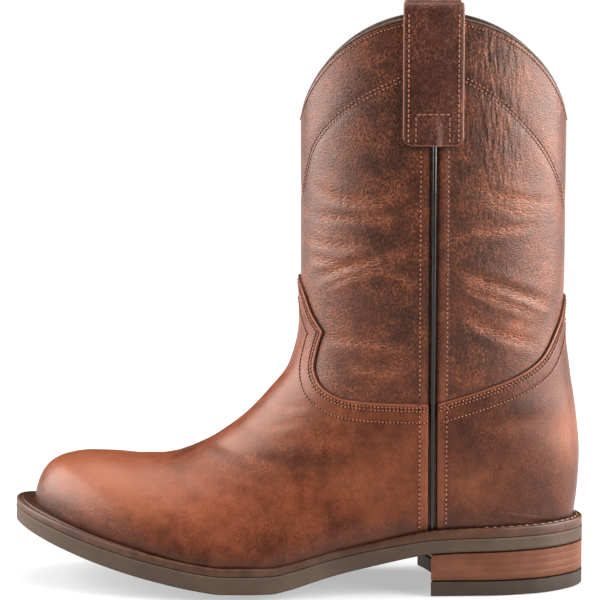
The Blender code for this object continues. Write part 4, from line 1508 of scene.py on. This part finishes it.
@dataclass
class Sole:
    """Outsole, welt, heel and insole, as profiles carried round the plan."""

    stations: int = 230
    lift_thick: float = 8.2
    seat_gap: float = 0.5
    welt_inset: float = 8.0
    insole_inset: float = 4.8
    insole_thick: float = 3.0
    breast_outer: float = 71.0
    breast_inner: float = 64.0
    breast_hollow: float = 7.0
    heel_centre: float = 112.0
    under_shares: tuple[float, ...] = (0.0, 0.2, 0.4, 0.55, 0.7, 0.82, 0.92)
    cap_shares: tuple[float, ...] = (0.75, 0.5, 0.25, 0.0)

    def loop(self) -> Array:
        """Plan of the sole's edge: outer side from heel to toe, inner side back.

        Returns:
            Points (x, y), one row each.
        """
        station = np.linspace(0.0, 1.0, self.stations + 1)
        station = np.concatenate([station, station[-2:0:-1]])
        x = LAST.edge_at(station)
        side = np.where(np.arange(len(x)) <= self.stations, -1.0, 1.0)
        return np.stack([x, LAST.middle(x) + side * PLAN.read("sole", station)], -1)

    def feather(self, inset: float) -> Array:
        """Plan of the feather line drawn in, at the places of the sole's edge.

        Args:
            inset: How far it is drawn in.

        Returns:
            Points (x, y), one row each.
        """
        outer = self.loop()
        heel = LAST.sole_length / 2 - LAST.set_back - inset
        length = LAST.feather_length - 2 * inset
        x = np.clip(outer[:, 0], heel - length, heel)
        station = np.arccos(1 - 2 * np.clip((heel - x) / length, 0.0, 1.0)) / np.pi
        half = np.maximum(PLAN.read("feather", station) - inset * np.sin(np.pi * station) ** 0.5, 0.0)
        side = np.where(np.arange(len(x)) <= self.stations, -1.0, 1.0)
        return np.stack([x, LAST.middle(x) + side * half], -1)

    @staticmethod
    def drawn_in(loop: Array, inset: float) -> Array:
        """Loop moved inwards along its own normal.

        Args:
            loop: Points (x, y) of the loop.
            inset: How far they move.

        Returns:
            The moved points.
        """
        ahead = unit(np.roll(loop, -1, 0) - np.roll(loop, 1, 0))
        inward = np.stack([-ahead[:, 1], ahead[:, 0]], -1)
        sign = np.sign(np.sum((loop.mean(0) - loop) * inward))
        return loop + inset * sign * inward

    @staticmethod
    def to_middle(loop: Array, share: float) -> Array:
        """Loop squeezed towards the middle line, which it reaches at share 0."""
        middle = LAST.middle(loop[:, 0])
        return np.stack([loop[:, 0], middle + share * (loop[:, 1] - middle)], -1)

    @staticmethod
    def ring(loop: Array, z: Array) -> Array:
        """Loop with its heights."""
        return np.concatenate([loop, np.broadcast_to(z, len(loop))[:, None]], 1)

    def edge_rings(self, loop: Array, base: Array, steps: tuple[Point2, ...]) -> list[Array]:
        """Rings of a loop drawn in by each inset, at each rise above its heights."""
        return [self.ring(self.drawn_in(loop, inset), base + rise) for inset, rise in steps]

    def flat_rings(self, loop: Array, face: Callable[[Array, Array], Array], shares: tuple[float, ...],
                   lift: float = 0.0) -> list[Array]:
        """Rings of a loop squeezed towards the middle line by shares, at a lift above a face."""
        lines = [self.to_middle(loop, share) for share in shares]
        return [self.ring(line, face(*line.T) + lift) for line in lines]

    def outsole(self) -> bpy.types.Object:
        """Underside, rounded edge and upper face, ring by ring.

        Returns:
            The piece.
        """
        loop = self.loop()
        low, thick = LAST.under(*loop.T), PROFILE.read("outsole", loop[:, 0])
        rings = self.flat_rings(loop, LAST.under, self.under_shares)
        rings += self.edge_rings(loop, low, ((0.9, 0.0), (0.35, 0.12), (0.05, 0.55), (0.0, 1.2)))
        for share in (0.4, 0.7):
            rings += self.edge_rings(loop, low + thick * share, ((0.12, 0.0),))
        rings += self.edge_rings(loop, low + thick, ((0.0, -1.0), (0.1, -0.4), (0.5, -0.05), (1.2, 0.0)))
        rings += self.flat_rings(loop, LAST.outsole_top, (0.8, 0.4, 0.0))
        shape = Shape()
        tread = np.arange(len(rings))[:, None] < len(self.under_shares)
        shape.add_grid(np.array(rings), wrap=True, tread=tread * 1.0)
        return shape.make("outsole_rubber", [OUTSOLE.material()])

    def welt(self) -> bpy.types.Object:
        """Strip with a rounded edge and a sunk stitch channel.

        Returns:
            The piece.
        """
        loop, inner = self.loop(), self.feather(self.welt_inset)
        low = LAST.outsole_top(*loop.T) + LAST.gap
        thick = PROFILE.read("welt", loop[:, 0])
        rings = [self.ring(inner, LAST.outsole_top(*inner.T) + LAST.gap)]
        rings += self.edge_rings(loop, low, ((0.7, 0.0), (0.35, 0.1), (0.3, 0.5)))
        rings += self.edge_rings(loop, low + thick, ((0.2, -1.0), (0.35, -0.45), (0.8, -0.08), (1.4, 0.0)))
        rings += self.edge_rings(loop, low + thick, ((2.0, 0.0), (2.3, -0.45), (3.3, -0.45), (3.6, 0.0)))
        seat = self.feather(2.0)
        rings.append(self.ring(seat, LAST.welt_top(*seat.T)))
        rings.append(self.ring(inner, LAST.welt_top(*inner.T)))
        rings.append(rings[0])
        shape = Shape()
        shape.add_grid(np.array(rings), wrap=True)
        return shape.make("welt_strip", [WELT.material()])

    def heel_loop(self) -> Array:
        """Plan of the heel: back round the sole's edge, and the hollow breast in front.

        Returns:
            Points (x, y), one row each.
        """
        outer, inner = (float(LAST.station_of(x)) for x in (self.breast_outer, self.breast_inner))
        station = np.concatenate([np.linspace(outer, 0.0, 130)[:-1], np.linspace(0.0, inner, 130)])
        x = LAST.edge_at(station)
        side = np.where(np.arange(len(x)) < 129, -1.0, 1.0)
        back = np.stack([x, LAST.middle(x) + side * PLAN.read("sole", station)], -1)
        across = np.linspace(1.0, -1.0, 62)[1:-1]
        breast = (self.breast_outer + self.breast_inner) / 2
        breast = breast - across * (self.breast_outer - self.breast_inner) / 2
        breast = breast + self.breast_hollow * (1 - across ** 2)
        half = PLAN.read("sole", LAST.station_of(breast))
        return np.concatenate([back, np.stack([breast, LAST.middle(breast) + across * half], -1)])

    def block(self, name: str, rings: list[tuple[float, Array | float]], finish: Plain) -> bpy.types.Object:
        """Block from rings of the heel's plan, each drawn in by an inset at a height, and flat faces.

        Args:
            name: The piece's name.
            rings: Insets and heights from the bottom to the top.
            finish: The piece's finish.

        Returns:
            The piece.
        """
        loop = self.heel_loop()
        centre = np.array([self.heel_centre, LAST.middle(self.heel_centre)])
        lines = [self.ring(self.drawn_in(loop, inset), z) for inset, z in rings]
        for share in self.cap_shares:
            for line, at in ((lines[0], 0), (lines[-1], len(lines))):
                flat = np.concatenate([centre + share * (line[:, :2] - centre), line[:, 2:]], 1)
                if share == 0.0:
                    flat[:, 2] = line[:, 2].mean()
                lines.insert(at, flat)
        shape = Shape()
        tread = np.arange(len(lines))[:, None] < len(self.cap_shares)
        shape.add_grid(np.array(lines), wrap=True, tread=tread * 1.0)
        return shape.make(name, [finish.material()])

    def heel(self) -> tuple[bpy.types.Object, bpy.types.Object]:
        """Leather stack with fine grooves between its layers, and the rubber lift.

        Returns:
            Both pieces.
        """
        loop = self.heel_loop()
        low, top = self.lift_thick + LAST.gap, LAST.under(*loop.T) - self.seat_gap
        rings: list[tuple[float, Array | float]] = [(0.4, low + 0 * top), (0.12, low + 0.35 + 0 * top)]
        for share in (0.27, 0.52, 0.77):
            z = low + (top - low) * share
            rings += [(0.12, z - 0.3), (0.2, z), (0.12, z + 0.3)]
        rings += [(0.12, top - 0.3), (0.3, top)]
        stack = self.block("heel_stack_leather", rings, STACK)
        high = self.lift_thick
        edge = [(0.8, 0.0), (0.25, 0.25), (0.05, 0.8), (0.0, high - 0.6), (0.3, high)]
        return stack, self.block("heel_lift_rubber", edge, LIFT)

    def insole(self) -> bpy.types.Object:
        """Board on the welt's inner edge.

        Returns:
            The piece.
        """
        loop, top = self.feather(self.insole_inset), LAST.gap + self.insole_thick
        rings = self.flat_rings(loop, LAST.welt_top, (0.0, 0.4, 0.8, 1.0), LAST.gap)
        rings += self.flat_rings(loop, LAST.welt_top, (1.0, 0.97, 0.8, 0.6, 0.4, 0.2, 0.0), top)
        shape = Shape()
        shape.add_grid(np.array(rings), wrap=True)
        return shape.make("insole_board", [INSOLE.material()])


@dataclass
class Stitching:
    """Rows of stitches: a thread that rises from one needle hole and dips into the next."""

    name: str
    finish: Plain
    radius: float = 0.38
    hole: float = 0.38
    arch: float = 0.28
    dip: float = 0.05
    sides: int = 6
    merge: float = 1e-7
    threads: Shape = field(default_factory=Shape)
    holes: Shape = field(default_factory=Shape)

    def sew(self, path: Array, normal: Array, pitch: float, cover: float = 0.74) -> None:
        """Lay stitches along a path.

        Each stitch is a tube whose height is a half sine and whose width follows a half circle. A flat dark
        lens lies in every needle hole as painted shadow.

        Args:
            path: Points on the surface.
            normal: Outward directions there.
            pitch: Distance from hole to hole in millimetres.
            cover: Share of the pitch that the thread covers.
        """
        length = run_of(path)[-1]
        count = max(int(length / pitch), 1)
        share = np.arange(count + 1) / count
        spots = spread(np.concatenate([path, normal], 1), path, share)
        holes, up = spots[:, :3], unit(spots[:, 3:])
        along = holes[1:] - holes[:-1]
        middle, rise = (holes[1:] + holes[:-1]) / 2, unit(up[1:] + up[:-1])
        across = unit(np.cross(along, rise))
        t = np.linspace(-1.0, 1.0, self.sides)
        size = self.radius * np.sqrt(1 - t ** 2)
        lift = self.arch * np.cos(t * np.pi / 2) - self.dip
        spine = (middle[:, None] + along[:, None] * (t * cover / 2)[None, :, None]
                 + rise[:, None] * lift[None, :, None])
        angle = np.linspace(0.0, 2 * np.pi, self.sides, endpoint=False)
        ring = (np.cos(angle)[None, :, None] * across[:, None] + np.sin(angle)[None, :, None] * rise[:, None])
        self.threads.add_grid(spine[:, :, None] + size[None, :, None, None] * ring[:, None], wrap=True)
        way = unit(np.gradient(holes, axis=0))
        over = np.cross(way, up)
        disc = np.cos(angle)[None, :, None] * way[:, None] + np.sin(angle)[None, :, None] * over[:, None]
        lens = [holes[:, None] + wide * disc + high * up[:, None]
                for wide, high in ((0.0, 0.10), (self.hole, 0.04), (0.0, -0.2))]
        self.holes.add_grid(np.stack(lens, 1), wrap=True)

    def on_form(self, pair: Array, height: float, pitch: float, creases: Creases) -> None:
        """Lay stitches on the form.

        Args:
            pair: Rows and turns of the path.
            height: Height of the leather there above the form.
            pitch: Distance from hole to hole in millimetres.
            creases: The leather's creases, which the stitches follow.
        """
        base, normal = LAST.points(*pair.T), LAST.normals(*pair.T)
        relief, _, _ = creases.read(base)
        self.sew(base + (height + relief)[:, None] * normal, normal, pitch)

    def build(self) -> list[bpy.types.Object]:
        """Thread piece and the piece of dark lenses, painted shadow in the needle holes.

        Returns:
            Both pieces.
        """
        threads = self.threads.make(self.name, [self.finish.material()], self.merge)
        # The lenses' piece is painted shadow in the needle holes.
        return [threads, self.holes.make(self.name + "_holes", [HOLE_SHADOW.material()], self.merge)]


def beside(line: Array, distance: float, side: Side, steps: int = 5) -> Array:
    """Side-view line carried to its right over the form, without the loops that it makes at a point.

    The points move in small steps along the form, at right angles to the line, and those that come
    nearer to any other point of the line are left out.

    Args:
        line: Side-view points of the line.
        distance: Distance in millimetres, negative for the left.
        side: Side of the boot.
        steps: Number of small steps.

    Returns:
        Rows and turns of the moved points.
    """
    pair = LAST.locate(line[:, 0], line[:, 1], side)
    base = moved = LAST.points(*pair.T)
    aside = -side.value * np.cross(np.gradient(base, axis=0), LAST.normals(*pair.T))
    for _ in range(steps):
        normal = LAST.normals(*pair.T)
        aside = unit(aside - (aside * normal).sum(1, keepdims=True) * normal)
        target = moved + aside * distance / steps
        pair = LAST.locate(target[:, 0], target[:, 2], side)
        moved = LAST.points(*pair.T)
    gap = np.linalg.norm(moved[:, None] - base[None], axis=-1).min(1)
    return pair[gap > abs(distance) * 0.92]


@dataclass
class Seams:
    """All stitch rows of the boot."""

    overlay_top: float = 1.5
    rows: tuple[float, ...] = (2.4, 4.0, 10.2)
    edge_pitch: float = 1.95
    yoke_half: float = 0.95
    yoke_pitch: float = 2.3
    seam_rows: tuple[float, float] = (-6.8, 7.0)
    seam_heights: Triple = (234.0, 106.0, 102.0)
    seam_clear: float = 3.0
    seam_pitch: float = 2.5
    collar_drop: float = 0.0013
    collar_pitch: float = 1.9
    strap_top: float = 303.0
    strap_cover: float = 0.92
    box_sides: Point2 = (62.0, 78.6)
    box_top: float = 251.0
    welt_inset: float = 2.8
    welt_pitch: float = 4.4
    welt_cover: float = 0.8

    def overlay_rows(self, sewn: Stitching, side: Side) -> None:
        """Two rows close to each overlay's edge and one further in.

        Args:
            sewn: The stitching that takes the rows.
            side: Side of the boot.
        """
        tongue, sweep, back = smooth_line(VAMP_TONGUE), smooth_line(VAMP_SIDE), smooth_line(COUNTER_EDGE)
        for distance in self.rows:
            pair = beside(np.concatenate([tongue[:-1], sweep]), distance, side)
            keep = (LAST.points(*pair.T)[:, 0] < SEAM_X - self.seam_clear) & (np.abs(pair[:, 1]) > 0.004)
            sewn.on_form(pair[keep], self.overlay_top, self.edge_pitch, VAMP_CREASES)
            pair = beside(back, distance, side)
            keep = (LAST.points(*pair.T)[:, 0] > SEAM_X + self.seam_clear) & (np.abs(pair[:, 1]) < 0.9995)
            sewn.on_form(pair[keep], self.overlay_top, self.edge_pitch, COUNTER_CREASES)

    def shaft_rows(self, sewn: Stitching, side: Side) -> None:
        """Double row along the yoke's arc, and rows beside the piping.

        Args:
            sewn: The stitching that takes the rows.
            side: Side of the boot.
        """
        for arc in (YOKE_FRONT, YOKE_BACK):
            for distance in (-self.yoke_half, self.yoke_half):
                sewn.on_form(beside(smooth_line(arc), distance, side), 0.0, self.yoke_pitch, SHAFT_CREASES)
        start, stop, below = self.seam_heights
        for shift in self.seam_rows:
            x = SEAM_X + shift
            foot = float(LAST.points(Overlay.seam_bottom(x), side.value)[2])
            stretches = ((start, stop, 0.0), (below, foot + self.seam_clear, self.overlay_top))
            for top, bottom, height in stretches:
                z = np.linspace(top, bottom, 200)
                creases = SHAFT_CREASES if height == 0.0 else VAMP_CREASES
                sewn.on_form(LAST.locate(np.full(200, x), z, side), height, self.seam_pitch, creases)

    def collar_row(self, sewn: Stitching) -> None:
        """One row a little below the collar's edge, all round.

        Args:
            sewn: The stitching that takes the row.
        """
        turns = np.linspace(-1.0, 1.0, 800)
        rows = LAST.collar_row(turns) + self.collar_drop
        sewn.on_form(np.stack([rows, turns], -1), 0.0, self.collar_pitch, SHAFT_CREASES)

    def strap_rows(self, sewn: Stitching, strap: Strap) -> None:
        """Rows inside the strap's long edges, and the box that sews it to the shaft.

        Args:
            sewn: The stitching that takes the rows.
            strap: The strap that they lie on.
        """
        height = strap.clear + strap.thick + 0.02
        low, half = strap.bottom + 1.5, strap.width / 2 - 2.9
        left, right = self.box_sides
        uprights = ((strap.x - half, self.strap_top), (strap.x + half, self.strap_top),
                    (left, self.box_top), (right, self.box_top))
        lines = [((x, low), (x, top)) for x, top in uprights]
        lines.append(((left, self.box_top + 1.0), (right + 0.4, self.box_top + 1.0)))
        for start, end in lines:
            x, z = (np.linspace(start[k], end[k], 80) for k in (0, 1))
            crown = strap.crown * (1 - ((x - strap.x) / (strap.width / 2)) ** 2)
            points, normal = strap.centre(x, z, height + crown + strap.bulge(x, z))
            sewn.sew(points, normal, self.seam_pitch, self.strap_cover)

    def welt_row(self, sewn: Stitching, sole: Sole) -> None:
        """One row in the welt's channel.

        Args:
            sewn: The stitching that takes the row.
            sole: The sole with that welt.
        """
        line = sole.drawn_in(sole.loop(), self.welt_inset)
        line = np.concatenate([line, line[:1]])
        z = LAST.welt_top(*line.T) - 0.35
        up = np.broadcast_to((0.0, 0.0, 1.0), (len(line), 3))
        sewn.sew(np.concatenate([line, z[:, None]], 1), up, self.welt_pitch, self.welt_cover)


@dataclass(frozen=True)
class SoftBox:
    """Large soft light, aimed at the boot."""

    name: str
    place: Triple
    size: tuple[float, float]
    power: float
    aim: Triple = (0.0, 0.0, 0.14)

    def build(self) -> None:
        """Add the area light."""
        data = bpy.data.lights.new(self.name, "AREA")
        data.shape = "RECTANGLE"
        data.size, data.size_y = self.size
        data.energy = self.power
        lamp = bpy.data.objects.new(self.name, data)
        lamp.location = self.place
        lamp.rotation_euler = (Vector(self.aim) - Vector(self.place)).to_track_quat("-Z", "Y").to_euler()
        bpy.context.scene.collection.objects.link(lamp)


@dataclass
class Studio:
    """Camera at the photograph's angle, pale floor, soft boxes and pale surroundings."""

    lens: float = 160.3
    distance: float = 1.4
    yaw: float = math.radians(2.5)
    camera_height: float = 0.3379
    aim: Triple = (0.0012, 0.0, 0.1511)
    floor_half: float = 30.0
    floor_drop: float = 0.0002
    boxes: tuple[SoftBox, ...] = (
        SoftBox("left_box", (-1.30, -0.12, 0.70), (1.7, 1.3), 78.0),
        SoftBox("right_box", (1.30, -0.18, 0.68), (1.7, 1.3), 97.0),
        SoftBox("top_box", (-0.30, 0.20, 1.6), (1.6, 1.0), 22.0),
    )
    surroundings: float = 0.02
    floor_tone: float = 0.25
    near_glow: float = 0.45
    far_glow: float = 1.05
    near_span: Point2 = (-0.25, -0.03)
    far_span: Point2 = (0.1, 1.6)

    def build(self) -> None:
        """Set up camera, floor, lights and surroundings."""
        data = bpy.data.cameras.new("camera")
        data.lens, data.sensor_width = self.lens, 36.0
        camera = bpy.data.objects.new("camera", data)
        x = self.aim[0] + self.distance * math.sin(self.yaw)
        camera.location = (x, -self.distance * math.cos(self.yaw), self.camera_height)
        camera.rotation_euler = (Vector(self.aim) - camera.location).to_track_quat("-Z", "Y").to_euler()
        bpy.context.scene.collection.objects.link(camera)
        bpy.context.scene.camera = camera
        self.floor()
        for box in self.boxes:
            box.build()
        world = bpy.data.worlds.new("studio")
        world.use_nodes = True
        back = world.node_tree.nodes["Background"]
        back.inputs["Color"].default_value = (1.0, 1.0, 1.0, 1.0)
        back.inputs["Strength"].default_value = self.surroundings
        bpy.context.scene.world = world
        bpy.context.scene.view_settings.view_transform = "Standard"

    def floor(self) -> None:
        """Wide pale floor just under the boot, which glows white away from it as a lit backdrop does."""
        mesh = bpy.data.meshes.new("floor")
        half = self.floor_half
        signs = ((-1, -1), (1, -1), (1, 1), (-1, 1))
        corners = [(x * half, y * half, -self.floor_drop) for x, y in signs]
        mesh.from_pydata(corners, [], [(0, 1, 2, 3)])
        paint = Paint("studio_floor")
        where = paint.node("ShaderNodeTexCoord", output="Object")
        behind = paint.node("ShaderNodeSeparateXYZ", inputs={0: where}, output="Y")
        glow = paint.mix(behind.step(*self.near_span), (0.0,) * 3, (self.near_glow,) * 3)
        glow = paint.mix(behind.step(*self.far_span), glow, (self.far_glow,) * 3)
        sockets = {"Base Color": (self.floor_tone,) * 3, "Roughness": 0.9, "Emission Color": glow,
                   "Emission Strength": 1.0}
        for key, value in sockets.items():
            paint.put(paint.shader.inputs[key], value)
        mesh.materials.append(paint.material)
        floor = bpy.data.objects.new("floor", mesh)
        bpy.context.scene.collection.objects.link(floor)


def stand_for(piece: bpy.types.Object, node: str) -> None:
    """Hide the solid that a piece stands for."""
    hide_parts(node)


def main() -> None:
    """Build the boot's pieces in order, then the studio."""
    logging.basicConfig(level=logging.INFO, format="%(message)s")
    sole = Sole()
    stack, lift = sole.heel()
    stand_for(sole.outsole(), "outsole")
    stand_for(sole.welt(), "welt")
    stand_for(stack, "heel_stack")
    stand_for(lift, "heel_lift")
    stand_for(sole.insole(), "insole")
    stand_for(Upper().build(), "upper")
    vamp = Vamp("vamp_leather", VAMP_LEATHER, VAMP_CREASES, 80, 260)
    stand_for(vamp.make(), "vamp")
    counter = Counter("counter_leather", COUNTER_LEATHER, COUNTER_CREASES, 90, 110)
    stand_for(counter.make(), "counter")
    stand_for(Collar().build(), "collar_binding")
    sewn, pale = Stitching("brown_stitching", THREAD), Stitching("welt_stitching", PALE_THREAD, 0.5)
    seams = Seams()
    for side in Side:
        word = side.name.lower()
        stand_for(Piping(side).build(), "side_piping_" + word)
        strap = Strap(side)
        stand_for(strap.build(), "pull_strap_" + word)
        seams.overlay_rows(sewn, side)
        seams.shaft_rows(sewn, side)
        seams.strap_rows(sewn, strap)
    seams.collar_row(sewn)
    seams.welt_row(pale, sole)
    for piece in sewn.build():
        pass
    for piece in pale.build():
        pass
    Studio().build()


if __name__ == "__main__":
    main()
